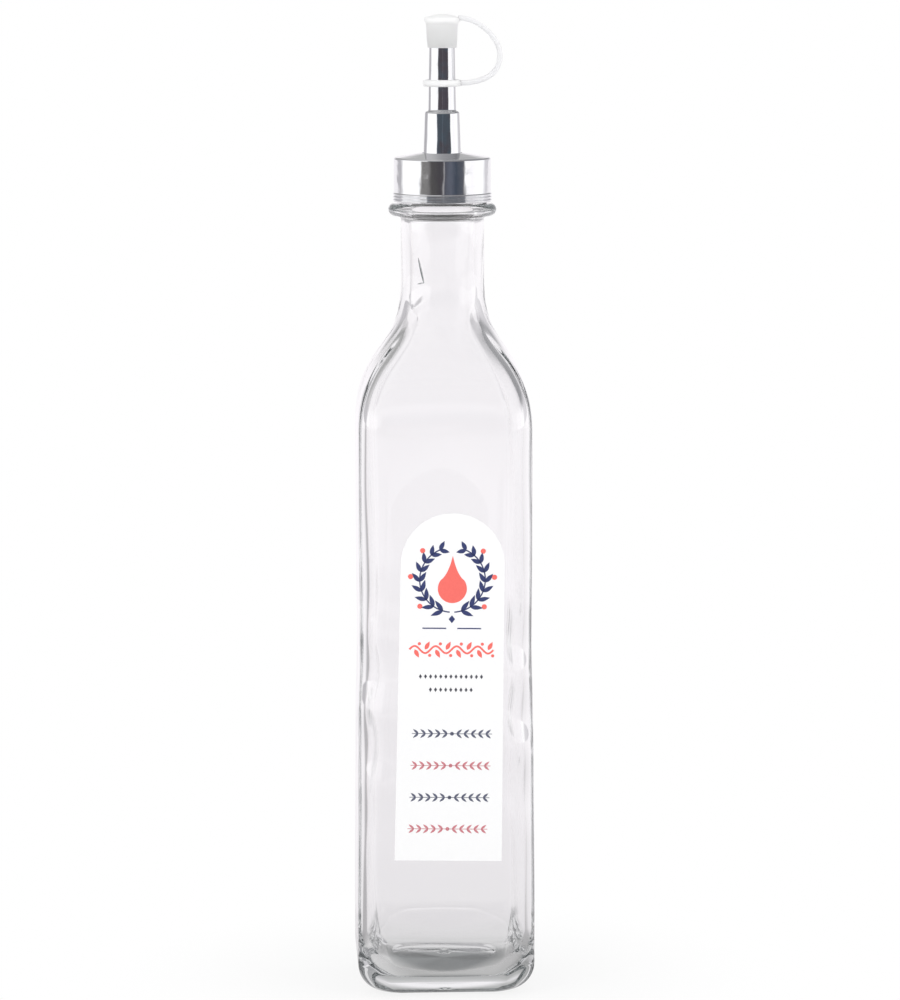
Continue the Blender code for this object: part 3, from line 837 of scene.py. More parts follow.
# For each share of the shoulder's height, how much wider than the neck it still is, and how round
SHOULDER = (
    (0.11, 0.98, 0.02),
    (0.22, 0.92, 0.06),
    (0.32, 0.82, 0.14),
    (0.43, 0.66, 0.27),
    (0.52, 0.47, 0.45),
    (0.61, 0.28, 0.66),
    (0.69, 0.14, 0.86),
    (0.79, 0.055, 1.0),
    (0.90, 0.012, 1.0),
    (1.0, 0.0, 1.0),
)


@dataclass
class GlassBottle:
    """The moulded glass: rounded-square body, sloped shoulder, neck, bead and screw finish."""

    # The body from its foot up, with its base, floor and walls
    body_half: float = 28.2 * MM
    waist_half: float = 28.0 * MM
    foot_half: float = 28.97 * MM
    body_height: float = 186.9 * MM
    straight_from: float = 0.82
    corner_radius: float = 9.0 * MM
    inner_corner_radius: float = 7.0 * MM
    heel_radius: float = 10.0 * MM
    wall: float = 2.8 * MM
    floor: float = 6.8 * MM
    inner_heel_width: float = 5.0 * MM
    inner_heel_rise: float = 15.0 * MM
    inner_heel_rounding: float = 0.4
    punt_radius: float = 17.5 * MM
    punt_height: float = 3.2 * MM
    inner_dome_height: float = 1.2 * MM
    inner_dome_radius: float = 19.0 * MM
    mark_radius: float = 1.1 * MM
    mark_height: float = 0.7 * MM

    # The shoulder, the neck, the bead and the screw finish
    shoulder_height: float = 47.1 * MM
    neck_radius: float = 13.53 * MM
    neck_length: float = 18.8 * MM
    bead_radius: float = 17.6 * MM
    bead_height: float = 4.0 * MM
    bead_flare: float = 1.3 * MM
    flare_start: float = 0.15
    finish_radius: float = 13.3 * MM
    finish_height: float = 8.1 * MM
    lip_radius: float = 1.0 * MM

    # The fold round the inner heel, with its height at each angle in degrees from the back
    fold_depth: float = -0.30 * MM
    fold_width: float = 0.40 * MM
    fold_angles: tuple[float, ...] = (0.0, 25.0, 38.0, 45.0, 60.0, 90.0, 120.0)
    fold_heights: tuple[float, ...] = (18.4, 18.1, 15.0, 13.2, 12.3, 10.5, 8.0)
    fold_end: float = 125.0
    fold_fade: float = 20.0

    # The inner corners' wandering low on the body
    sway_depth: float = 0.35 * MM
    sway_length: float = 26.0 * MM
    sway_middle: float = 95.0 * MM
    sway_reach: float = 34.0 * MM
    sway_from_x: float = 2.3
    sway_from_y: float = 0.9

    # The slow unevenness, and where it fades out at the foot and at the neck
    outer_unevenness: float = 0.03 * MM
    inner_unevenness: float = 0.14 * MM
    even_foot: float = 14.0 * MM
    foot_fade: float = 12.0 * MM
    even_neck: float = 4.0 * MM
    neck_fade: float = 8.0 * MM

    # How finely the surfaces are drawn
    flat_steps: int = 18
    corner_steps: int = 24
    base_rings: int = 22
    heel_steps: int = 24
    inner_heel_steps: int = 64
    body_rows: int = 100
    shoulder_rows: int = 100
    shoulder_margin: float = 12.0 * MM
    flare_steps: int = 6
    bead_steps: int = 14
    finish_rows: int = 30
    lip_steps: int = 5
    blend_reach: float = 5.0 * MM
    blend_steps: int = 15
    table_rows: int = 400

    # How far over the bead the ridge may start, and how exactly a ring must lie on the finish
    ridge_margin: float = MM / 2
    ridge_slack: float = MM / 10

    # How far the inside's wall runs over the neck's top, and the least half-width that counts
    bore_overrun: float = MM
    least_half: float = MM

    @property
    def neck_top(self) -> float:
        """Height of the neck's top, under the bead."""
        return self.body_height + self.shoulder_height + self.neck_length

    @property
    def bead_top(self) -> float:
        """Height of the bead's top."""
        return self.neck_top + self.bead_flare + self.bead_height

    def directions(self, corner: float) -> tuple[np.ndarray, np.ndarray]:
        """The rounded square of half-width 1 and its matching circle, once around.

        Args:
            corner: The corners' radius as a share of the half-width.

        Returns:
            The square's points, and the circle's points in the same directions.
        """
        flat = 1.0 - corner
        shares = np.linspace(0.0, 1.0, self.flat_steps, endpoint=False)
        quarter = [(1.0, flat * share) for share in shares]
        for step in range(self.corner_steps + 1):
            turn = math.pi / 2 * step / self.corner_steps
            quarter.append((flat + corner * math.cos(turn), flat + corner * math.sin(turn)))
        quarter += [(flat * share, 1.0) for share in shares[:0:-1]]
        square = []
        for side in range(4):
            cosine, sine = round(math.cos(side * math.pi / 2)), round(math.sin(side * math.pi / 2))
            square += [(x * cosine - y * sine, x * sine + y * cosine) for x, y in quarter]
        points = np.array(square)
        return points, points / np.linalg.norm(points, axis=1)[:, None]

    def wall_profile(self, z: np.ndarray) -> tuple[np.ndarray, np.ndarray]:
        """Half-width and roundness of the outside.

        Args:
            z: Heights between the heel and the neck's top.

        Returns:
            The half-widths, and how round each height is from 0 to 1.
        """
        spread = self.foot_half - self.waist_half
        heights = [share * self.body_height for share, _ in SWELL]
        widths = [self.waist_half + spread * amount for _, amount in SWELL]
        heights += [self.straight_from * self.body_height, self.body_height]
        widths += [self.body_half, self.body_half]
        rounds = [0.0] * len(heights)
        for height_share, width_share, round_share in SHOULDER:
            heights.append(self.body_height + self.shoulder_height * height_share)
            widths.append(self.neck_radius + (self.body_half - self.neck_radius) * width_share)
            rounds.append(round_share)
        heights.append(self.neck_top)
        widths.append(self.neck_radius)
        rounds.append(1.0)
        blended = np.zeros((2, len(z)))
        shifts = np.linspace(-1.0, 1.0, self.blend_steps + 2)[1:-1]
        weights = np.cos(shifts * math.pi / 2) ** 2
        for shift, weight in zip(shifts, weights / weights.sum()):
            at = np.clip(z + shift * self.blend_reach, heights[0], heights[-1])
            blended[0] += weight * eased_through(heights, widths, at)
            blended[1] += weight * eased_through(heights, rounds, at)
        return blended[0], blended[1]

    def thickness(self, z: np.ndarray) -> np.ndarray:
        """The wall's thickness, greatest where the shoulder turns into the neck.

        Args:
            z: Heights up the bottle.

        Returns:
            The thickness at each.
        """
        end = self.neck_top - self.even_neck
        heights = (0.0, 190 * MM, 206 * MM, 224 * MM, 238 * MM, end, self.neck_top)
        added = (0.0, 0.0, 0.35 * MM, 0.7 * MM, 0.45 * MM, 0.0, 0.0)
        return self.wall + eased_through(heights, added, z)

    def wall_heights(self, start: float) -> np.ndarray:
        """Heights of the wall's rings, closer at the shoulder.

        Args:
            start: The lowest.

        Returns:
            The heights, up to the neck's top.
        """
        change = self.body_height - self.shoulder_margin
        low = np.linspace(start, change, self.body_rows, endpoint=False)
        return np.append(low, np.linspace(change, self.neck_top, self.shoulder_rows))

    @functools.cached_property
    def face_table(self) -> tuple[np.ndarray, np.ndarray]:
        """Heights up the body, and how far the flat faces stand from the axis at each."""
        heights = np.linspace(self.heel_radius, self.body_height, self.table_rows)
        return heights, self.wall_profile(heights)[0]

    def face_distance(self, z: float) -> float:
        """How far the flat faces stand from the axis at a height."""
        return float(np.interp(z, *self.face_table))

    def mould_mark(self, radius: float) -> float:
        """How high the small mark in the middle of the base stands at a radius."""
        return self.mark_height * math.exp(-((radius / self.mark_radius) ** 2))

    def base_rows(self) -> list[Row]:
        """The rows of the push-up and of the heel round it.

        Returns:
            Half-width, height and roundness of each, from the middle out.
        """
        rows = []
        for share in np.linspace(0.0, 1.0, self.base_rings):
            radius = share * self.punt_radius
            rise = self.punt_height * (1 - share**2)
            rows.append((radius, rise - self.mould_mark(radius), 1.0))
        flat = self.foot_half - self.heel_radius
        for step in range(self.heel_steps + 1):
            turn = math.pi / 2 * step / self.heel_steps
            out, up = math.sin(turn), 1 - math.cos(turn)
            rows.append((flat + self.heel_radius * out, self.heel_radius * up, 0.0))
        return rows

    def bead_rows(self) -> list[Row]:
        """The rows of the neck's flare and of the bead over it.

        Returns:
            Half-width, height and roundness of each, from below.
        """
        rows = []
        half = self.bead_height / 2
        centre = self.bead_radius - half
        middle = self.bead_top - half
        for share in np.linspace(self.flare_start, 1.0, self.flare_steps):
            turn = math.pi / 2 * share
            out = (centre - self.neck_radius) * (1 - math.cos(turn))
            rows.append((self.neck_radius + out, self.neck_top + self.bead_flare * math.sin(turn), 1.0))
        for step in range(1, self.bead_steps + 1):
            turn = math.pi * (step / self.bead_steps - 0.5)
            rows.append((centre + half * math.cos(turn), middle + half * math.sin(turn), 1.0))
        return rows

    def finish_rows_up(self) -> list[Row]:
        """The rows of the screw finish and of the lip's two roundings.

        Returns:
            Half-width, height and roundness of each, from the bead to the lip's inner edge.
        """
        lip = self.bead_top + self.finish_height
        low = lip - self.lip_radius
        rows = [(self.finish_radius, z, 1.0) for z in np.linspace(self.bead_top, low, self.finish_rows)]
        bore = self.neck_radius - self.wall
        outer, inner = self.finish_radius - self.lip_radius, bore + self.lip_radius
        for centre, start in ((outer, 0.0), (inner, 0.5)):
            for step in range(self.lip_steps + 1):
                turn = math.pi * (start + step / (2 * self.lip_steps))
                across, up = self.lip_radius * math.cos(turn), self.lip_radius * math.sin(turn)
                rows.append((centre + across, low + up, 1.0))
        return rows

    def outer_rows(self) -> list[Row]:
        """The rows of the outside.

        Returns:
            Half-width, height and roundness from under the base up to the lip's inner edge.
        """
        heights = self.wall_heights(self.heel_radius)
        widths, rounds = self.wall_profile(heights)
        walls = list(zip(widths, heights, rounds))[1:]
        return self.base_rows() + walls + self.bead_rows() + self.finish_rows_up()

    def inner_rows(self) -> list[Row]:
        """The rows of the inside.

        Returns:
            Half-width, height and roundness from the bore down to the middle of the floor.
        """
        heights = self.wall_heights(self.floor + self.inner_heel_rise)
        widths, rounds = self.wall_profile(heights)
        slopes = np.gradient(widths, heights)
        scale = 1.0 / np.sqrt(1.0 + slopes**2)
        inwards = self.thickness(heights) * scale
        rows = list(zip(widths - inwards, heights + inwards * slopes, rounds))
        rows = [row for row in rows[::-1] if row[1] < self.neck_top + self.bore_overrun]
        flat = rows[-1][0] - self.inner_heel_width
        for step in range(1, self.inner_heel_steps + 1):
            turn = math.pi / 2 * step / self.inner_heel_steps
            out, down = math.cos(turn), math.sin(turn)
            z = self.floor + self.inner_heel_rise * (1 - down)
            rows.append((flat + self.inner_heel_width * out, z, self.inner_heel_rounding * down**2))
        for share in np.linspace(1.0, 0.0, self.base_rings):
            radius = share * self.inner_dome_radius
            rise = self.inner_dome_height * (1 - share**2)
            rows.append((radius, self.floor + rise + self.mould_mark(radius), 1.0))
        return rows

    def fold(self, turns: np.ndarray, z: float) -> np.ndarray:
        """How far the fold round the inner heel sinks into the glass, or stands out of it.

        Args:
            turns: Directions of the ring's points, in radians from +X.
            z: The ring's height.

        Returns:
            The depth at each point. The fold is high at the back and runs out at the sides.
        """
        from_back = np.degrees(np.abs((turns + math.pi / 2) % (2 * math.pi) - math.pi))
        place = np.interp(from_back, self.fold_angles, self.fold_heights) * MM
        fade = np.clip((self.fold_end - from_back) / self.fold_fade, 0.0, 1.0)
        return self.fold_depth * fade * np.exp(-(((z - place) / self.fold_width) ** 2))

    def sway(self, turns: np.ndarray, z: float) -> np.ndarray:
        """How far the inner corners wander out low on the body.

        Args:
            turns: Directions of the ring's points, in radians from +X.
            z: The ring's height.

        Returns:
            The distance at each point, none in the middle of the flat faces.
        """
        near_corner = np.sin(2 * turns) ** 2
        near_middle = math.exp(-(((z - self.sway_middle) / self.sway_reach) ** 2))
        start = self.sway_from_x * np.cos(turns) + self.sway_from_y * np.sin(turns)
        wave = np.sin(2 * math.pi * z / self.sway_length + start)
        return self.sway_depth * near_middle * near_corner * wave

    def ripple(self, share: np.ndarray, z: float, seed: float) -> np.ndarray:
        """Slow unevenness of the moulded surface.

        Args:
            share: Places round the ring, from 0 to 1.
            z: The height.
            seed: A phase that tells one surface from the other.

        Returns:
            How far the surface stands out of its mean place, from -1 to 1.
        """
        around, up = 2 * math.pi * share, z / (10 * MM)
        waves = (
            size * np.sin(count * around + climb * up + start * seed)
            for size, count, climb, start in UNEVENNESS
        )
        fade = float(np.clip((z - self.even_foot) / self.foot_fade, 0, 1))
        fade *= float(np.clip((self.neck_top - self.even_neck - z) / self.neck_fade, 0, 1))
        return sum(waves) * fade

    def surface_rings(self, outside: bool, thread: ThreadSizes) -> list[np.ndarray]:
        """The rings of points of one surface of the glass.

        Args:
            outside: True for the outside, False for the inside.
            thread: The screw thread that stands on the outside of the finish.

        Returns:
            The rings, from under the base up to the lip, or from the bore down to the floor.
        """
        if outside:
            rows, amount, seed = self.outer_rows(), self.outer_unevenness, 1.0
            corner = self.corner_radius / self.body_half
        else:
            rows, amount, seed = self.inner_rows(), self.inner_unevenness, 2.0
            corner = self.inner_corner_radius / (self.body_half - self.wall)
        square, circle = self.directions(corner)
        turns = np.arctan2(circle[:, 1], circle[:, 0]) % (2 * math.pi)
        share = np.arange(len(square)) / len(square)
        finish_z = self.bead_top + self.ridge_margin
        finish_half = self.finish_radius - self.ridge_slack
        rings = []
        for half_width, z, roundness in rows:
            across = (square + (circle - square) * roundness) * half_width
            moved = self.ripple(share, z, seed) * amount
            if not outside:
                moved = moved + sum(mark.depth_at(turns, z, half_width) for mark in FLOW_MARKS)
                moved = moved + self.fold(turns, z) + self.sway(turns, z)
            elif z > finish_z and half_width >= finish_half:
                moved = moved + thread.ridge(turns, z)
            ring = across * (1.0 + moved / max(half_width, self.least_half))[:, None]
            rings.append(np.column_stack([ring, np.full(len(ring), z)]))
        return rings

    def build(self, thread: ThreadSizes) -> bpy.types.Object:
        """Makes the glass.

        Args:
            thread: The screw thread on its finish.

        Returns:
            The glass piece.
        """
        rings = self.surface_rings(True, thread) + self.surface_rings(False, thread)
        mesh = ringed_mesh("glass_bottle_moulded", np.array(rings), looped=False)
        return dressed(mesh, CLEAR_GLASS, Body.BOTTLE, ["glass_bottle"])


@dataclass
class PrintSheet:
    """Collects printed shapes in the label's own plane: across and up, in millimetres.

    Each shape is a pair of rails with as many points each, which a strip of faces joins.
    """

    # How finely curves are drawn, how full a leaf is, how far points stay open, and where the disc
    # and the drop start and end
    curve_steps: int = 20
    leaf_fullness: float = 0.8
    least_half: float = 0.004
    blunt: float = 0.02
    disc_end: float = 0.05
    drop_start: float = 0.04
    drop_turn: float = 0.70 * math.pi
    drop_bend: Pair = (0.30, 0.60)

    def __post_init__(self) -> None:
        """Starts with nothing printed."""
        self.shapes: dict[Ink, list[np.ndarray]] = {ink: [] for ink in Ink}

    def put(self, ink: Ink, rails: np.ndarray, place: Pair, turn: float = 0.0) -> None:
        """Adds a shape.

        Args:
            ink: Its ink.
            rails: Its left and right rail, as an array of two by points by two.
            place: Where its origin goes.
            turn: Its turn in degrees.
        """
        angle = math.radians(turn)
        spin = np.array([[math.cos(angle), math.sin(angle)], [-math.sin(angle), math.cos(angle)]])
        self.shapes[ink].append(rails @ spin + np.array(place))

    def leaf(self, ink: Ink, place: Pair, length: float, width: float, turn: float) -> None:
        """Adds a pointed leaf.

        Args:
            ink: Its ink.
            place: Its root.
            length: Its length.
            width: Its width at the widest.
            turn: The direction that it grows in, in degrees.
        """
        share = np.linspace(0.0, 1.0, self.curve_steps // 2)
        bulge = width / 2 * np.sin(math.pi * share**self.leaf_fullness) + self.least_half
        along = share * length
        self.put(ink, np.array([np.c_[along, bulge], np.c_[along, -bulge]]), place, turn)

    def disc(self, ink: Ink, place: Pair, radius: float) -> None:
        """Adds a round dot.

        Args:
            ink: Its ink.
            place: Its middle.
            radius: Its radius.
        """
        turns = np.linspace(self.disc_end, math.pi - self.disc_end, self.curve_steps // 2)
        along, aside = -radius * np.cos(turns), radius * np.sin(turns)
        self.put(ink, np.array([np.c_[along, aside], np.c_[along, -aside]]), place)

    def lozenge(self, ink: Ink, place: Pair, width: float, height: float) -> None:
        """Adds a small diamond.

        Args:
            ink: Its ink.
            place: Its middle.
            width: Its width.
            height: Its height.
        """
        along = np.array([-0.5, 0.0, 0.5]) * width
        aside = np.array([self.blunt, 0.5, self.blunt]) * height
        self.put(ink, np.array([np.c_[along, aside], np.c_[along, -aside]]), place)

    def drop(self, ink: Ink, place: Pair, radius: float, height: float) -> None:
        """Adds a drop of oil with its round end down.

        Args:
            ink: Its ink.
            place: The bottom of its round end.
            radius: The radius of that end.
            height: Its height.
        """
        turns = np.linspace(self.drop_start, self.drop_turn, self.curve_steps)
        bowl = np.c_[radius * np.sin(turns), radius * (1 - np.cos(turns))]
        share = np.linspace(0.0, 1.0, self.curve_steps)[1:, None]
        tip = np.array([self.blunt, height])
        bend = np.array(self.drop_bend) * (radius, height)
        side = (1 - share) ** 2 * bowl[-1] + 2 * share * (1 - share) * bend + share**2 * tip
        rail = np.vstack([bowl, side])
        self.put(ink, np.array([rail * (-1.0, 1.0), rail]), place)

    def stroke(self, ink: Ink, path: np.ndarray, width: float) -> None:
        """Adds a line of one width.

        Args:
            ink: Its ink.
            path: The points that it goes through.
            width: Its width.
        """
        along = np.gradient(path, axis=0)
        along /= np.linalg.norm(along, axis=1)[:, None]
        aside = np.c_[-along[:, 1], along[:, 0]] * width / 2
        self.put(ink, np.array([path + aside, path - aside]), (0.0, 0.0))


class Drawing:
    """One part of the label's print. Its sizes are in millimetres and its angles in degrees."""

    def draw(self, sheet: PrintSheet) -> None:
        """Draws the part. Each kind has its own."""
        raise NotImplementedError


@dataclass
class Wreath(Drawing):
    """A drop of oil in an open wreath, over a small diamond and two short lines."""

    middle: float = 92.3
    radius: float = 10.6
    opening: Pair = (-86.0, 66.0)
    stem_steps: int = 40
    stem_width: float = 0.42
    pairs: int = 9
    first_pair: float = -74.0
    leaf_turns: Pair = (-38.0, 36.0)
    leaf_length: float = 4.3
    leaf_loss: float = 0.12
    leaf_width: float = 1.45
    berry_ring: float = 13.6
    berry_angles: tuple[float, ...] = (-40.0, 4.0, 44.0)
    berry_radius: float = 0.85
    drop_radius: float = 4.7
    drop_height: float = 15.4
    drop_foot: float = 7.6
    diamond: Pair = (2.0, 2.6)
    diamond_drop: float = 12.9
    line_span: Pair = (1.8, 9.5)
    line_width: float = 0.4
    line_drop: float = 15.9

    def spot(self, side: int, radius: float, angle: float) -> Pair:
        """A point of the wreath on one side, at an angle in degrees up from the level."""
        turn = math.radians(angle)
        return side * radius * math.cos(turn), self.middle + radius * math.sin(turn)

    def half(self, sheet: PrintSheet, side: int) -> None:
        """Draws the stem, leaves and berries of one half.

        Args:
            sheet: The sheet that it is printed on.
            side: -1 for the left, 1 for the right.
        """
        low, high = self.opening
        stem = [self.spot(side, self.radius, a) for a in np.linspace(low, high, self.stem_steps)]
        sheet.stroke(Ink.NAVY, np.array(stem), self.stem_width)
        for index, angle in enumerate(np.linspace(self.first_pair, high, self.pairs)):
            heading = angle + 90
            length = self.leaf_length - self.leaf_loss * index
            for lean in self.leaf_turns:
                facing = heading + lean if side > 0 else 180 - heading - lean
                root = self.spot(side, self.radius, angle)
                sheet.leaf(Ink.NAVY, root, length, self.leaf_width, facing)
        for angle in self.berry_angles:
            sheet.disc(Ink.CORAL, self.spot(side, self.berry_ring, angle), self.berry_radius)

    def draw(self, sheet: PrintSheet) -> None:
        """Draws the drop, the wreath and what stands under it.

        Args:
            sheet: The sheet that it is printed on.
        """
        foot = (0.0, self.middle - self.drop_foot)
        sheet.drop(Ink.CORAL, foot, self.drop_radius, self.drop_height)
        for side in (-1, 1):
            self.half(sheet, side)
        sheet.lozenge(Ink.NAVY, (0.0, self.middle - self.diamond_drop), *self.diamond)
        for side in (-1, 1):
            line = [(side * x, self.middle - self.line_drop) for x in self.line_span]
            sheet.stroke(Ink.NAVY, np.array(line), self.line_width)


@dataclass
class LeafyBand(Drawing):
    """A wavy stem across the label, with a leaf and a berry in each bend."""

    height: float = 69.4
    reach: float = 13.6
    steps: int = 120
    swing: float = 1.15
    bend: float = 3.4
    stem_width: float = 0.62
    bends: int = 8
    first_leaf: float = -11.9
    leaf: Pair = (3.0, 1.35)
    leaf_turn: float = 62.0
    berry_shift: float = 1.5
    berry_drop: float = 1.9
    berry_radius: float = 0.52

    def draw(self, sheet: PrintSheet) -> None:
        """Draws the band.

        Args:
            sheet: The sheet that it is printed on.
        """
        across = np.linspace(-self.reach, self.reach, self.steps)
        wave = self.height + self.swing * np.sin(across * math.pi / self.bend)
        sheet.stroke(Ink.CORAL, np.column_stack([across, wave]), self.stem_width)
        for index in range(self.bends):
            x = self.first_leaf + self.bend * index
            up = 1 if index % 2 else -1
            sheet.leaf(Ink.CORAL, (x, self.height), *self.leaf, self.leaf_turn * up)
            berry = (x + self.berry_shift, self.height - self.berry_drop * up)
            sheet.disc(Ink.CORAL, berry, self.berry_radius)


@dataclass
class DottedRow(Drawing):
    """A row of small diamonds."""

    height: float
    count: int
    spacing: float = 1.65
    diamond: Pair = (0.95, 1.5)

    def draw(self, sheet: PrintSheet) -> None:
        """Draws the row.

        Args:
            sheet: The sheet that it is printed on.
        """
        for index in range(self.count):
            spot = (self.spacing * (index - (self.count - 1) / 2), self.height)
            sheet.lozenge(Ink.GREY, spot, *self.diamond)


@dataclass
class LeafyRow(Drawing):
    """A row of leaf pairs on a thin stem, mirrored about its middle."""

    height: float
    ink: Ink
    shift: float
    reach: float = 13.0
    stem_width: float = 0.2
    dot_radius: float = 0.62
    pairs: int = 5
    first_pair: float = 1.5
    spacing: float = 2.35
    leaf: Pair = (2.25, 0.72)
    leaf_turn: float = 40.0

    def draw(self, sheet: PrintSheet) -> None:
        """Draws the row.

        Args:
            sheet: The sheet that it is printed on.
        """
        ends = [(self.shift - self.reach, self.height), (self.shift + self.reach, self.height)]
        sheet.stroke(self.ink, np.array(ends), self.stem_width)
        sheet.disc(self.ink, (self.shift, self.height), self.dot_radius)
        for side in (-1, 1):
            for index in range(self.pairs):
                root = self.shift + side * (self.first_pair + self.spacing * index)
                for lean in (-self.leaf_turn, self.leaf_turn):
                    facing = lean if side > 0 else 180 - lean
                    sheet.leaf(self.ink, (root, self.height), *self.leaf, facing)


# The label's print from the top, with heights up the sheet and places aside from its middle
ORNAMENT: tuple[Drawing, ...] = (
    Wreath(),
    LeafyBand(),
    DottedRow(height=60.6, count=13),
    DottedRow(height=56.3, count=9),
    LeafyRow(height=41.9, ink=Ink.SLATE, shift=0.6),
    LeafyRow(height=31.4, ink=Ink.ROSE, shift=0.3),
    LeafyRow(height=20.9, ink=Ink.SLATE, shift=0.1),
    LeafyRow(height=10.5, ink=Ink.ROSE, shift=-0.4),
)


@dataclass
class PrintedLabel:
    """The paper label with an arched top and its printed ornament."""

    length: float = 114.0 * MM
    base_width: float = 34.9 * MM
    arch_width: float = 33.6 * MM
    base_z: float = 46.0 * MM
    offset: float = 1.2 * MM
    tilt: float = math.radians(1.0)
    paper_gap: float = 0.06 * MM
    paper_thickness: float = 0.14 * MM
    ink_gap: float = 0.01 * MM
    ink_thickness: float = 0.02 * MM
    crown_half: float = 0.05 * MM
    rows: int = 40
    arch_steps: int = 32
    columns: int = 12

    def laid(self, bottle: GlassBottle, across: float, up: float, lift: float) -> Point:
        """A point of the sheet, laid on the bottle's front face.

        Args:
            bottle: The glass that carries it.
            across: Distance from the label's centre line.
            up: Height above the label's base.
            lift: Distance off the glass.

        Returns:
            The point in the row frame.
        """
        middle = self.length / 2
        rise = up - middle
        x = self.offset + across * math.cos(self.tilt) + rise * math.sin(self.tilt)
        z = self.base_z + middle + rise * math.cos(self.tilt) - across * math.sin(self.tilt)
        return x, -bottle.face_distance(z) - lift, z

    def half_outline(self) -> list[Pair]:
        """The sheet's outline on one side.

        Returns:
            Half-width and height up the sheet, from its base to the top of its arch.
        """
        radius = self.arch_width / 2
        straight = self.length - radius
        rows = []
        for row in range(self.rows):
            share = row / self.rows
            width = self.base_width + (self.arch_width - self.base_width) * share
            rows.append((width / 2, straight * share))
        for step in range(self.arch_steps):
            turn = math.pi / 2 * step / self.arch_steps
            rows.append((radius * math.cos(turn), straight + radius * math.sin(turn)))
        return [*rows, (self.crown_half, self.length)]

    def paper(self, bottle: GlassBottle) -> bpy.types.Object:
        """Makes the sheet of paper on the front face.

        Args:
            bottle: The glass that carries it.

        Returns:
            The sheet.
        """
        rings = []
        for half_width, up in self.half_outline():
            shares = np.linspace(-1, 1, self.columns + 1)
            near, far = self.paper_gap, self.paper_gap + self.paper_thickness
            front = [self.laid(bottle, half_width * s, up, far) for s in shares]
            back = [self.laid(bottle, half_width * s, up, near) for s in shares[::-1]]
            rings.append(front + back)
        mesh = ringed_mesh("label_sheet", np.array(rings), looped=False, sharp=30.0)
        return dressed(mesh, PAPER, Body.BOTTLE, ["label"])

    def printed(self, bottle: GlassBottle, ink: Ink, shapes: Sequence[np.ndarray]) -> bpy.types.Object:
        """Makes the thin printed piece of one ink.

        Args:
            bottle: The glass that carries the label.
            ink: The ink.
            shapes: Its shapes, each a pair of rails.

        Returns:
            The printed piece.
        """
        # Each pair of rail points gives four corners: left and right on top, then underneath
        low = self.paper_gap + self.paper_thickness + self.ink_gap
        points: list[Point] = []
        faces: list[tuple[int, ...]] = []
        for left, right in shapes:
            first = len(points)
            for (u0, v0), (u1, v1) in zip(left, right):
                for off in (low + self.ink_thickness, low):
                    points.append(self.laid(bottle, u0 * MM, v0 * MM, off))
                    points.append(self.laid(bottle, u1 * MM, v1 * MM, off))
            count = len(left)
            for i in range(first, first + 4 * (count - 1), 4):
                faces += [(i, i + 1, i + 5, i + 4), (i + 3, i + 2, i + 6, i + 7)]
                faces += [(i + 2, i, i + 4, i + 6), (i + 1, i + 3, i + 7, i + 5)]
            last = first + 4 * (count - 1)
            faces += [(first + 1, first, first + 2, first + 3), (last, last + 1, last + 3, last + 2)]
        mesh = bpy.data.meshes.new(f"label_print_{ink.name.lower()}")
        mesh.from_pydata(points, [], faces)
        shape = bmesh.new()
        shape.from_mesh(mesh)
        bmesh.ops.recalc_face_normals(shape, faces=shape.faces)
        shape.to_mesh(mesh)
        shape.free()
        return dressed(mesh, ink_finish(ink), Body.BOTTLE)

    def build(self, bottle: GlassBottle) -> list[bpy.types.Object]:
        """Makes the paper and one printed piece for each ink.

        Args:
            bottle: The glass that carries the label.

        Returns:
            The pieces.
        """
        sheet = PrintSheet()
        for drawing in ORNAMENT:
            drawing.draw(sheet)
        pieces = [self.paper(bottle)]
        for ink, shapes in sheet.shapes.items():
            pieces.append(self.printed(bottle, ink, shapes))
        return pieces


@dataclass
class SteppedSpout:
    """The steel spout: a flange, a wide lower stage and a slim upper stage."""

    # Its stages from the flange up
    flange_radius: float = 12.9 * MM
    flange_z: float = 269.3 * MM
    flange_thickness: float = 0.8 * MM
    base_radius: float = 6.25 * MM
    step_radius: float = 5.6 * MM
    upper_radius: float = 4.5 * MM
    tip_radius: float = 4.0 * MM
    step_z: float = 287.9 * MM
    tip_z: float = 316.0 * MM
    wall: float = 0.55 * MM

    # How its edges are rounded
    tip_rounding: float = 0.25 * MM
    bore_rounding: float = 0.2 * MM
    step_fillet: float = 0.6 * MM
    step_rounding: float = 0.7 * MM
    flange_fillet: float = 0.9 * MM

    def build(self) -> bpy.types.Object:
        """Makes the spout.

        Returns:
            The spout.
        """
        base_top = self.flange_z + self.flange_thickness
        wall = self.wall
        corners = (
            (self.tip_radius, self.tip_z, self.tip_rounding),
            (self.upper_radius, self.step_z, self.step_fillet),
            (self.step_radius, self.step_z, self.step_rounding),
            (self.base_radius, base_top, self.flange_fillet),
            (self.flange_radius, base_top, 0.0),
            (self.flange_radius, self.flange_z, 0.0),
            (self.base_radius - wall, self.flange_z, self.flange_fillet),
            (self.step_radius - wall, self.step_z - wall, 0.0),
            (self.upper_radius - wall, self.step_z - wall, 0.0),
            (self.tip_radius - wall, self.tip_z, self.bore_rounding),
        )
        mesh = turned_mesh("spout_turned", rounded(corners))
        return dressed(mesh, STEEL, Body.SPOUT, ["spout_tube"])


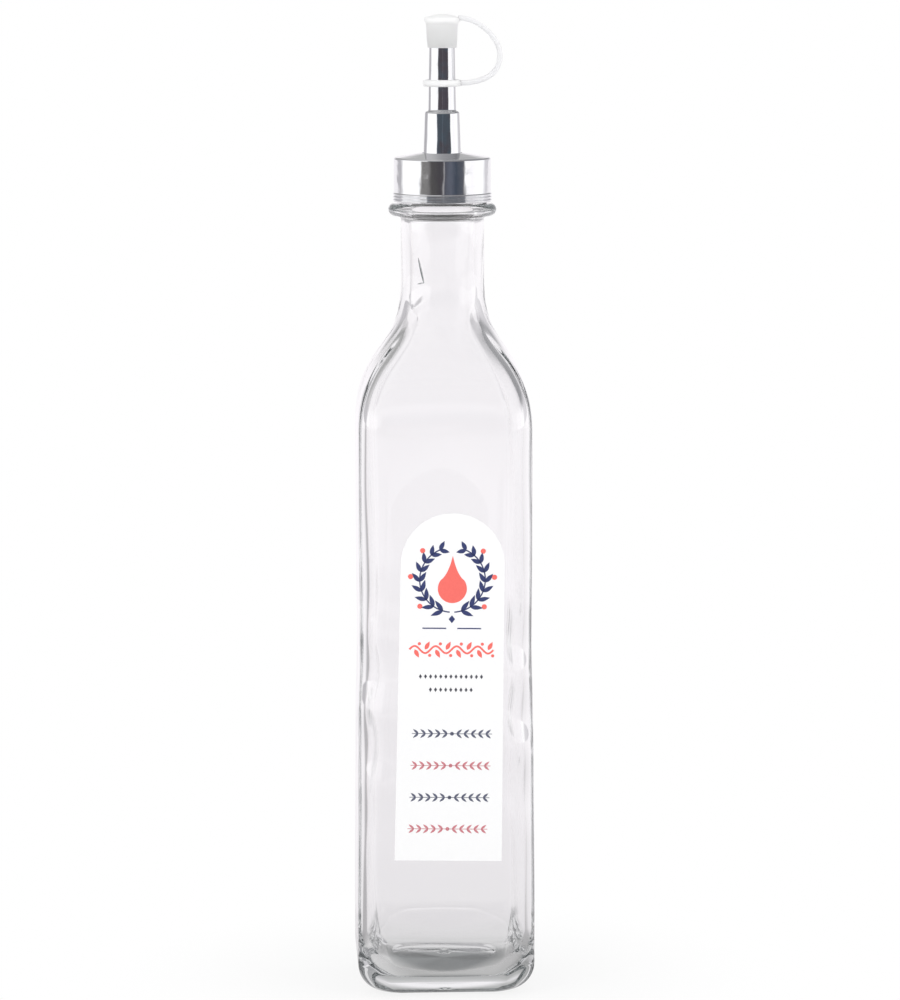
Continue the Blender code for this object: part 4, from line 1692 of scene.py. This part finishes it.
@dataclass
class ChromedCollar:
    """The chromed collar with its beaded band, and the threaded liner inside it."""

    # The shell, with the share of its pitch at which each bead starts and ends
    radius: float = 15.8 * MM
    wall: float = 0.5 * MM
    base_z: float = 258.7 * MM
    shoulder_z: float = 273.0 * MM
    cone_rise: float = 1.45 * MM
    shoulder_inset: float = 0.4 * MM
    hole_radius: float = 6.55 * MM
    band_height: float = 2.9 * MM
    band_relief: float = 0.35 * MM
    beads: int = 3
    bead_shares: Pair = (0.3, 0.62)
    crimp: float = 0.8 * MM
    steps: int = 128

    # How its edges are rounded
    hole_rounding: float = 0.12 * MM
    shoulder_rounding: float = 0.4 * MM
    groove_rounding: float = 0.08 * MM
    bead_rounding: float = 0.14 * MM
    edge_rounding: float = 0.2 * MM
    crimp_rounding: float = 0.1 * MM

    # The liner and its thread, which runs out over a part of a turn at each end
    liner_bore: float = 14.3 * MM
    thread_root: float = 0.1 * MM
    thread_height: float = 0.55 * MM
    thread_half_width: float = 0.5 * MM
    thread_crest: float = 0.5
    thread_runout: float = 0.08
    thread_start: float = 0.05
    thread_steps: int = 96

    def shell(self) -> bpy.types.Object:
        """Makes the chromed shell.

        Returns:
            The shell.
        """
        shoulder = self.radius - self.shoulder_inset
        cone_z = self.shoulder_z + self.cone_rise
        edge_z = self.shoulder_z - self.shoulder_inset
        inside = self.radius - self.wall
        corners = [
            (self.hole_radius, cone_z, self.hole_rounding),
            (shoulder, self.shoulder_z, self.shoulder_rounding),
            (self.radius, edge_z, self.shoulder_rounding),
        ]
        pitch = self.band_height / self.beads
        for bead in range(self.beads):
            top = self.base_z + self.band_height - pitch * bead
            corners.append((self.radius, top, self.groove_rounding))
            for share in self.bead_shares:
                crest = self.radius + self.band_relief
                corners.append((crest, top - pitch * share, self.bead_rounding))
        corners += [
            (self.radius, self.base_z, self.edge_rounding),
            (inside - self.crimp, self.base_z, self.crimp_rounding),
            (inside - self.crimp, self.base_z + self.wall, self.crimp_rounding),
            (inside, self.base_z + self.wall, 0.0),
            (inside, edge_z - self.wall, 0.0),
            (shoulder, self.shoulder_z - self.wall, 0.0),
            (self.hole_radius, cone_z - self.wall, 0.0),
        ]
        mesh = turned_mesh("collar_turned", rounded(corners), steps=self.steps)
        return dressed(mesh, CHROME, Body.COLLAR, ["collar_shell"])

    def liner_thread(self, thread: ThreadSizes) -> bpy.types.Object:
        """Makes the liner's thread, half a pitch under the ridge on the glass.

        Args:
            thread: The sizes of the ridge on the glass.

        Returns:
            The thread.
        """
        rings = []
        root = self.liner_bore + self.thread_root
        half = self.thread_half_width
        flat = half * self.thread_crest
        for index in range(self.thread_steps + 1):
            along = thread.turns * index / self.thread_steps
            turn = 2 * math.pi * along
            z = thread.start_z + thread.pitch * (along - 0.5)
            fade = min(1.0, along / self.thread_runout, (thread.turns - along) / self.thread_runout)
            crest = root - (self.thread_root + self.thread_height * max(fade, self.thread_start))
            section = ((root, z - half), (crest, z - flat), (crest, z + flat), (root, z + half))
            rings.append([(r * math.cos(turn), r * math.sin(turn), up) for r, up in section])
        mesh = ringed_mesh("liner_thread", np.array(rings), looped=False)
        return dressed(mesh, HARD_PLASTIC, Body.COLLAR)

    def build(self, thread: ThreadSizes) -> list[bpy.types.Object]:
        """Makes the shell and the liner's thread."""
        return [self.shell(), self.liner_thread(thread)]


@dataclass
class TipTether:
    """One soft moulding: a ring on the spout, a bowed strap and the cap over the tip."""

    # The ring, the cap and the strap
    ring_z: float = 297.0 * MM
    ring_height: float = 2.2 * MM
    ring_bore: float = 4.50 * MM
    ring_radius: float = 6.23 * MM
    skirt_z: float = 308.4 * MM
    seat_z: float = 316.3 * MM
    top_z: float = 319.2 * MM
    skirt_radius: float = 4.75 * MM
    skirt_bore: float = 4.3 * MM
    shoulder_radius: float = 5.25 * MM
    flange_radius: float = 5.84 * MM
    flange_thickness: float = 1.3 * MM
    crown: float = 1.2 * MM
    strap_reach: float = 19.6 * MM
    strap_thickness: float = 1.6 * MM
    strap_width: float = 3.6 * MM
    strap_drop: float = 0.4 * MM

    # How the edges are rounded, and how the cap's bore widens
    ring_rounding: float = 0.8 * MM
    bore_rounding: float = 0.2 * MM
    flange_rounding: float = 0.35 * MM
    flange_edge: float = 0.2 * MM
    shoulder_drop: float = 0.5 * MM
    shoulder_rounding: float = 0.4 * MM
    skirt_rounding: float = 0.15 * MM
    mouth_rounding: float = 0.1 * MM
    seat_rounding: float = 0.3 * MM
    seat_widening: float = 0.05 * MM
    crown_reach: float = 0.92
    crown_rings: int = 9

    # How far the strap runs into the ring and the cap, how high it turns back, how strongly its
    # curve is pulled out and up at each end, and its rounded section
    strap_root: float = 0.5 * MM
    strap_lap: float = 0.6 * MM
    strap_turn: float = 0.43
    lower_pull: Pair = (0.61, 0.30)
    upper_pull: Pair = (0.51, 0.25)
    strap_corner: float = 0.55 * MM
    strap_steps: int = 28
    corner_steps: int = 4

    def ring(self) -> bpy.types.Object:
        """Makes the ring.

        Returns:
            The ring.
        """
        low, high = self.ring_z - self.ring_height / 2, self.ring_z + self.ring_height / 2
        corners = (
            (self.ring_radius, high, self.ring_rounding),
            (self.ring_radius, low, self.ring_rounding),
            (self.ring_bore, low, self.bore_rounding),
            (self.ring_bore, high, self.bore_rounding),
        )
        mesh = turned_mesh("tether_ring_moulded", rounded(corners))
        return dressed(mesh, MILKY, Body.TETHER, ["tether_ring"])

    def cap(self) -> bpy.types.Object:
        """Makes the cap with its crowned flange.

        Returns:
            The cap.
        """
        rim = self.top_z - self.crown
        under = rim - self.flange_thickness
        crown = [
            (self.flange_radius * share, self.top_z - self.crown * share * share, 0.0)
            for share in np.linspace(0, self.crown_reach, self.crown_rings)
        ]
        corners = (
            *crown,
            (self.flange_radius, rim, self.flange_rounding),
            (self.flange_radius, under + self.flange_edge, self.flange_rounding),
            (self.shoulder_radius, under - self.shoulder_drop, self.shoulder_rounding),
            (self.skirt_radius, self.skirt_z, self.skirt_rounding),
            (self.skirt_bore, self.skirt_z, self.mouth_rounding),
            (self.skirt_bore + self.seat_widening, self.seat_z, self.seat_rounding),
            (0.0, self.seat_z, 0.0),
        )
        mesh = turned_mesh("tip_cap_moulded", rounded(corners), looped=False)
        return dressed(mesh, MILKY, Body.CAP, ["tip_cap"])

    def strap_path(self) -> tuple[np.ndarray, np.ndarray]:
        """The strap's centre line in the XZ plane.

        Returns:
            Its points from the ring to the cap, and its direction at each.
        """
        end_z = self.top_z - self.strap_drop - self.strap_thickness / 2
        low = np.array((self.ring_radius - self.strap_root, self.ring_z))
        high = np.array((self.flange_radius - self.strap_lap, end_z))
        rise = high[1] - low[1]
        turn_x = self.strap_reach - self.strap_thickness / 2
        turn = np.array((turn_x, low[1] + rise * self.strap_turn))
        low_out, low_up = self.lower_pull
        high_out, high_up = self.upper_pull
        curves = (
            (low, low + ((turn_x - low[0]) * low_out, 0), turn - (0, rise * low_up), turn),
            (turn, turn + (0, rise * high_up), high + ((turn_x - high[0]) * high_out, 0), high),
        )
        points = []
        for a, b, c, d in curves:
            for t in np.linspace(0, 1, self.strap_steps, endpoint=False):
                left = 1 - t
                points.append(left**3 * a + 3 * t * left**2 * b + 3 * t * t * left * c + t**3 * d)
        points.append(high)
        path = np.array(points)
        along = np.gradient(path, axis=0)
        return path, along / np.linalg.norm(along, axis=1)[:, None]

    def strap_section(self) -> list[Pair]:
        """The strap's section, a rectangle with round corners.

        Returns:
            Its points, across the strap's thickness and along its width.
        """
        corner = self.strap_corner
        section = []
        for side, (sx, sy) in enumerate(((1, 1), (-1, 1), (-1, -1), (1, -1))):
            for step in range(self.corner_steps + 1):
                turn = math.pi / 2 * (side + step / self.corner_steps)
                across = sx * (self.strap_thickness / 2 - corner) + corner * math.cos(turn)
                aside = sy * (self.strap_width / 2 - corner) + corner * math.sin(turn)
                section.append((across, aside))
        return section

    def strap(self) -> bpy.types.Object:
        """Makes the strap.

        Returns:
            The strap.
        """
        path, along = self.strap_path()
        section = self.strap_section()
        rings = [
            [(x - dz * u, v, z + dx * u) for u, v in section]
            for (x, z), (dx, dz) in zip(path, along)
        ]
        mesh = ringed_mesh("tether_strap_moulded", np.array(rings), looped=False)
        piece = bpy.data.objects.new(mesh.name, mesh)
        bpy.context.scene.collection.objects.link(piece)
        mesh.materials.append(STRAP_PLASTIC.material())
        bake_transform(piece)
        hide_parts("tether_strap")
        LOG.info("%s: %d faces between tether and cap", piece.name, len(mesh.polygons))
        return piece

    def build(self) -> list[bpy.types.Object]:
        """Makes the ring, the cap and the strap."""
        return [self.ring(), self.cap(), self.strap()]


@dataclass
class CarriedNodes:
    """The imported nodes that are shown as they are, in a better finish."""

    def build(self, nodes: Mapping[str, bpy.types.Object]) -> None:
        """Gives each node its finish.

        Args:
            nodes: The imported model's nodes by name.
        """
        finishes = {
            "stopper": HARD_PLASTIC,
            "collar_liner": HARD_PLASTIC,
            "seal_washer": SILICONE,
            "air_tube": TUBE_PLASTIC,
        }
        for name, finish in finishes.items():
            node = nodes[name]
            node.data.materials.clear()
            node.data.materials.append(finish.material())
            LOG.info("%s: dressed in %s", name, finish.name)


# Studio


def greys(tones: Sequence[Pair]) -> Cards:
    """The same places, with a grey for each tone."""
    return [(place, (tone, tone, tone)) for place, tone in tones]


# The cards round the bottle. A place is a share of the way round from the back by the left, so
# that 0.5 is the camera's side. A colour is a share of the brightest card.
WHITE: Colour = (1.0, 1.0, 1.0)
LEFT_CARDS: Cards = (
    (0.0, (0.80, 0.78, 0.80)),
    (0.036, (0.80, 0.78, 0.80)),
    (0.080, (0.40, 0.39, 0.41)),
    (0.165, (0.42, 0.41, 0.43)),
    (0.200, WHITE),
)
RIGHT_CARDS: Cards = (
    (0.700, (0.93, 0.91, 0.93)),
    (0.800, WHITE),
    (0.835, (0.60, 0.585, 0.61)),
    (0.920, (0.50, 0.49, 0.51)),
    (0.964, (0.80, 0.78, 0.80)),
    (1.0, (0.80, 0.78, 0.80)),
)

# The cards below the collar's height
LOW_CARDS: Cards = (
    *LEFT_CARDS,
    (0.343, WHITE),
    (0.353, (0.19, 0.185, 0.18)),
    (0.400, (0.17, 0.165, 0.165)),
    (0.425, (0.075, 0.072, 0.072)),
    (0.480, (0.055, 0.052, 0.058)),
    (0.497, (0.07, 0.067, 0.075)),
    (0.503, (0.38, 0.37, 0.38)),
    (0.509, (0.07, 0.072, 0.09)),
    (0.545, (0.10, 0.11, 0.14)),
    (0.580, (0.050, 0.062, 0.085)),
    (0.635, (0.085, 0.092, 0.11)),
    (0.640, (0.12, 0.12, 0.13)),
    (0.655, WHITE),
    *RIGHT_CARDS,
)

# The darker room over the cards
CEILING: Cards = (
    (0.0, (0.40, 0.40, 0.40)),
    (0.05, (0.34, 0.34, 0.34)),
    (0.095, (0.26, 0.26, 0.26)),
    (0.15, (0.50, 0.49, 0.50)),
    (0.30, (0.45, 0.45, 0.45)),
    (0.50, (0.30, 0.30, 0.31)),
    (0.70, (0.25, 0.25, 0.26)),
    (0.79, (0.20, 0.20, 0.21)),
    (0.90, (0.27, 0.27, 0.28)),
    (0.94, (0.30, 0.30, 0.31)),
    (1.0, (0.40, 0.40, 0.40)),
)

# How bright glass and metal see the floor, by the share of its reach from the bottle: a painted
# shadow, darkest under the bottle and fading out away from it
FLOOR_TONES_WITH_PAINTED_SHADOW: Cards = (
    (0.0, (0.22, 0.23, 0.235)),
    (0.0085, (0.26, 0.27, 0.275)),
    (0.0115, (0.66, 0.66, 0.66)),
    (0.022, (0.76, 0.75, 0.76)),
    (0.035, (0.82, 0.80, 0.82)),
    (0.060, (0.88, 0.86, 0.88)),
    (0.150, (0.94, 0.915, 0.94)),
    (0.400, (0.98, 0.955, 0.98)),
    (1.0, (1.0, 0.975, 1.0)),
)

# The part of that brightness on each side, by the share of the way round: painted shade that
# darkens some sides of the floor more than others
FLOOR_PAINTED_SHADE_BY_SIDE = greys((
    (0.0, 1.0),
    (0.110, 1.0),
    (0.145, 0.90),
    (0.164, 0.50),
    (0.222, 0.50),
    (0.264, 0.62),
    (0.311, 0.95),
    (0.361, 0.95),
    (0.420, 0.75),
    (0.500, 0.80),
    (0.600, 0.82),
    (0.655, 0.74),
    (0.690, 0.55),
    (0.770, 0.60),
    (0.811, 0.92),
    (0.890, 1.0),
    (1.0, 1.0),
))

# Where painted shade darkens the floor in front, by the share of the way round, and to what
# part, by the share of its reach
FRONT_SHADE_MASK = greys(((0.0, 0.0), (0.32, 0.0), (0.36, 1.0), (0.64, 1.0), (0.68, 0.0)))
FRONT_PAINTED_SHADE = greys((
    (0.0, 1.0),
    (0.05, 0.7),
    (0.11, 0.30),
    (0.32, 0.28),
    (0.42, 0.9),
    (0.6, 0.9),
    (1.0, 0.12),
))

# Each lamp's name, place in metres and power in watts
LAMPS = (("key", (-1.1, -1.2, 1.3), 9.0), ("fill", (1.3, -0.9, 1.0), 7.0))


@dataclass
class Studio:
    """White floor, plain soft light, and the camera at the photograph's angle."""

    # The camera: its place, aim, tilt and lens
    distance: float = 1.5
    camera_height: float = 0.3617
    aim_z: float = 0.1605
    aim_x: float = 2.33 * MM
    yaw: float = math.radians(2.5)
    roll: float = math.radians(-0.1)
    lens: float = 165.96
    sensor: float = 36.0
    nearest: float = 0.05

    # The floor, just under the base, and how far off its tones still change
    floor_side: float = 3.0
    floor_gap: float = 0.2 * MM
    floor_front: float = -2.0
    floor_back: float = 6.0
    floor_reach: float = 2.0
    floor_colour: Colour = (0.88, 0.88, 0.88)

    # The fill for surfaces, and the cards that metal and glass show
    fill_strength: float = 0.80
    card_strength: float = 1.25
    spout_dark: Colour = (0.062, 0.052, 0.060)
    cap_dark: Colour = (0.058, 0.074, 0.092)
    edge_glow: float = 1.6

    # How steeply a direction points up where each higher layer of cards starts and is full
    spout_rise: Pair = (-0.045, -0.025)
    cap_rise: Pair = (0.002, 0.010)
    ceiling_rise: Pair = (0.09, 0.30)

    # The soft shadow, the lamps and how often light may bounce
    shadow_reach: float = 0.12
    shadow_veil: float = 0.86
    lamp_size: Pair = (1.0, 1.3)
    glass_bounces: int = 64

    def level_cards(self, dark: Colour) -> Cards:
        """What stands round the bottle at the spout's height.

        Args:
            dark: The colour of the dark card at the camera's side.

        Returns:
            The cards. The dark one is lighter at both ends and in a narrow gap at its middle.
        """
        lighter = tuple(value * self.edge_glow for value in dark)
        return (
            *LEFT_CARDS,
            (0.392, WHITE),
            (0.400, lighter),
            (0.425, dark),
            (0.493, dark),
            (0.503, lighter),
            (0.513, dark),
            (0.635, dark),
            (0.642, lighter),
            (0.650, WHITE),
            *RIGHT_CARDS,
        )

    @staticmethod
    def way_round(wiring: Wiring, parts: Sequence[bpy.types.NodeSocket]) -> bpy.types.NodeSocket:
        """Finds to which side of the bottle a direction points.

        Args:
            wiring: The tree that the nodes go into.
            parts: The direction's X, Y and Z.

        Returns:
            The share of the way round from the back by the left.
        """
        azimuth = wiring.math("ARCTAN2", parts[0], wiring.math("MULTIPLY", parts[1], -1.0))
        return wiring.math("ADD", wiring.math("DIVIDE", azimuth, 2 * math.pi), 0.5)

    def surroundings(self) -> None:
        """White for the camera, a plain fill for surfaces, and cards that metal and glass show."""
        world = bpy.data.worlds.new("studio")
        bpy.context.scene.world = world
        world.use_nodes = True
        wiring = Wiring(world.node_tree)
        output = world.node_tree.nodes["World Output"]
        world.node_tree.nodes.remove(world.node_tree.nodes["Background"])
        direction = wiring.add("ShaderNodeTexCoord").outputs["Generated"]
        parts = wiring.add("ShaderNodeSeparateXYZ", {0: direction}).outputs
        share = self.way_round(wiring, parts)
        shown = wiring.ramp(share, LOW_CARDS)
        layers = (
            (self.level_cards(self.spout_dark), self.spout_rise),
            (self.level_cards(self.cap_dark), self.cap_rise),
            (CEILING, self.ceiling_rise),
        )
        for layer, (start, full) in layers:
            rise = wiring.add(
                "ShaderNodeMapRange",
                {"Value": parts[2], "From Min": start, "From Max": full},
                interpolation_type="SMOOTHSTEP",
            )
            higher = wiring.ramp(share, layer)
            mixed = wiring.add(
                "ShaderNodeMix", {0: rise.outputs["Result"], 6: shown, 7: higher}, data_type="RGBA"
            )
            shown = mixed.outputs[2]
        cards = wiring.add("ShaderNodeBackground", {"Color": shown, "Strength": self.card_strength})
        fill = wiring.add("ShaderNodeBackground", {"Strength": self.fill_strength})
        white = wiring.add("ShaderNodeBackground", {"Strength": 1.0})
        for plain in (fill, white):
            plain.inputs["Color"].default_value = (1, 1, 1, 1)
        rays = wiring.add("ShaderNodeLightPath").outputs
        seen = wiring.math("MAXIMUM", rays["Is Glossy Ray"], rays["Is Transmission Ray"])
        lit = wiring.add("ShaderNodeMixShader", {0: seen, 1: fill.outputs[0], 2: cards.outputs[0]})
        both = wiring.add(
            "ShaderNodeMixShader", {0: rays["Is Camera Ray"], 1: lit.outputs[0], 2: white.outputs[0]}
        )
        wiring.tree.links.new(both.outputs[0], output.inputs["Surface"])

    def floor(self) -> bpy.types.Object:
        """Makes the floor, a plain rectangle that the bottle stands on.

        Returns:
            The floor.
        """
        side, front, back = self.floor_side, self.floor_front, self.floor_back
        mesh = bpy.data.meshes.new("floor")
        low = -self.floor_gap
        corners = [(-side, front, low), (side, front, low), (side, back, low), (-side, back, low)]
        mesh.from_pydata(corners, [], [(0, 1, 2, 3)])
        floor = bpy.data.objects.new("floor", mesh)
        bpy.context.scene.collection.objects.link(floor)
        mesh.materials.append(self.floor_look())
        return floor

    def floor_look(self) -> bpy.types.Material:
        """Makes the floor white to the camera but for the bottle's soft shadow.

        Returns:
            The floor's material, which glass and metal see in the tones of the tables, with their
            painted shadow and painted shade.
        """
        made = bpy.data.materials.new("floor_white")
        made.use_nodes = True
        made.node_tree.nodes.clear()
        wiring = Wiring(made.node_tree)
        output = wiring.add("ShaderNodeOutputMaterial")
        matt = wiring.add("ShaderNodeBsdfDiffuse", {"Color": (*self.floor_colour, 1.0)})
        place = wiring.add("ShaderNodeTexCoord").outputs["Object"]
        far = wiring.add("ShaderNodeVectorMath", {0: place}, operation="LENGTH").outputs["Value"]
        away = wiring.add(
            "ShaderNodeMapRange",
            {"Value": far, "From Min": self.shadow_reach / 4, "From Max": self.shadow_reach},
            interpolation_type="SMOOTHSTEP",
        )
        away.inputs["To Min"].default_value = self.shadow_veil
        tones = self.floor_tones_with_painted_shade(wiring, place, far)
        rays = wiring.add("ShaderNodeLightPath").outputs
        seen = wiring.math("MAXIMUM", rays["Is Glossy Ray"], rays["Is Transmission Ray"])
        white = wiring.add("ShaderNodeEmission", {"Color": (*WHITE, 1.0)})
        # Glass and metal see the floor glowing in these tones, which hold a painted shadow and painted
        # shade
        tone = wiring.add("ShaderNodeEmission", {"Color": tones})
        veil = wiring.math("MULTIPLY", rays["Is Camera Ray"], away.outputs["Result"])
        shown = wiring.add("ShaderNodeMixShader", {0: veil, 1: matt.outputs[0], 2: white.outputs[0]})
        mixed = wiring.add("ShaderNodeMixShader", {0: seen, 1: shown.outputs[0], 2: tone.outputs[0]})
        wiring.tree.links.new(mixed.outputs[0], output.inputs["Surface"])
        return made

    def floor_tones_with_painted_shade(
        self, wiring: Wiring, place: bpy.types.NodeSocket, far: bpy.types.NodeSocket
    ) -> bpy.types.NodeSocket:
        """Adds the tones in which glass and metal see the floor: painted shadow and painted shade.

        Args:
            wiring: The tree that the nodes go into.
            place: The place on the floor.
            far: Its distance from the bottle.

        Returns:
            The tone at that place.
        """
        distance = wiring.math("DIVIDE", far, self.floor_reach)
        parts = wiring.add("ShaderNodeSeparateXYZ", {0: place}).outputs
        share = self.way_round(wiring, parts)
        # Where the painted shade in front falls, and how dark it is
        near = wiring.ramp(share, FRONT_SHADE_MASK)
        tones = wiring.ramp(distance, FLOOR_TONES_WITH_PAINTED_SHADOW)
        # Painted shade on some sides of the floor
        painted_side_shade = wiring.ramp(share, FLOOR_PAINTED_SHADE_BY_SIDE)
        front_shade = wiring.ramp(distance, FRONT_PAINTED_SHADE)
        # Multiplies in the painted shade by side and the painted shade in front
        for factor, colour in ((1.0, painted_side_shade), (near, front_shade)):
            mixed = wiring.add(
                "ShaderNodeMix",
                {0: factor, 6: tones, 7: colour},
                data_type="RGBA",
                blend_type="MULTIPLY",
            )
            tones = mixed.outputs[2]
        return tones

    def lamps(self) -> None:
        """Adds two large soft lamps in front, one on each side."""
        for name, spot, power in LAMPS:
            data = bpy.data.lights.new(name, "AREA")
            data.shape = "RECTANGLE"
            data.size, data.size_y = self.lamp_size
            data.energy = power
            lamp = bpy.data.objects.new(name, data)
            lamp.location = spot
            aim = Vector((0.0, 0.0, self.aim_z)) - lamp.location
            lamp.rotation_euler = aim.to_track_quat("-Z", "Y").to_euler()
            lamp.visible_glossy = False
            lamp.visible_transmission = False
            bpy.context.scene.collection.objects.link(lamp)

    def camera(self) -> bpy.types.Object:
        """Makes the camera of the photograph.

        Returns:
            The camera.
        """
        data = bpy.data.cameras.new("camera")
        data.sensor_width = self.sensor
        data.lens = self.lens
        data.clip_start = self.nearest
        camera = bpy.data.objects.new("camera", data)
        camera.location = (
            -self.distance * math.sin(self.yaw),
            -self.distance * math.cos(self.yaw),
            self.camera_height,
        )
        aim = Vector((self.aim_x, 0.0, self.aim_z)) - camera.location
        turn = aim.to_track_quat("-Z", "Y") @ Quaternion((0, 0, 1), self.roll)
        camera.rotation_euler = turn.to_euler()
        bpy.context.scene.collection.objects.link(camera)
        bpy.context.scene.camera = camera
        return camera

    def build(self) -> None:
        """Sets up the world, floor, lamps and camera."""
        self.surroundings()
        self.floor()
        self.lamps()
        self.camera()
        bpy.context.scene.view_settings.view_transform = "Standard"
        paths = bpy.context.scene.cycles
        paths.max_bounces = self.glass_bounces
        paths.glossy_bounces = self.glass_bounces
        paths.transmission_bounces = self.glass_bounces


def main() -> None:
    """Builds the cruet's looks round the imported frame."""
    logging.basicConfig(level=logging.INFO, format="%(name)s %(message)s")
    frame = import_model()

    thread = ThreadSizes()
    bottle = GlassBottle()
    bottle.build(thread)
    for bubble in BUBBLES:
        bubble.build()
    PrintedLabel().build(bottle)
    SteppedSpout().build()
    ChromedCollar().build(thread)
    TipTether().build()
    CarriedNodes().build(frame["nodes"])
    Studio().build()


if __name__ == "__main__":
    main()
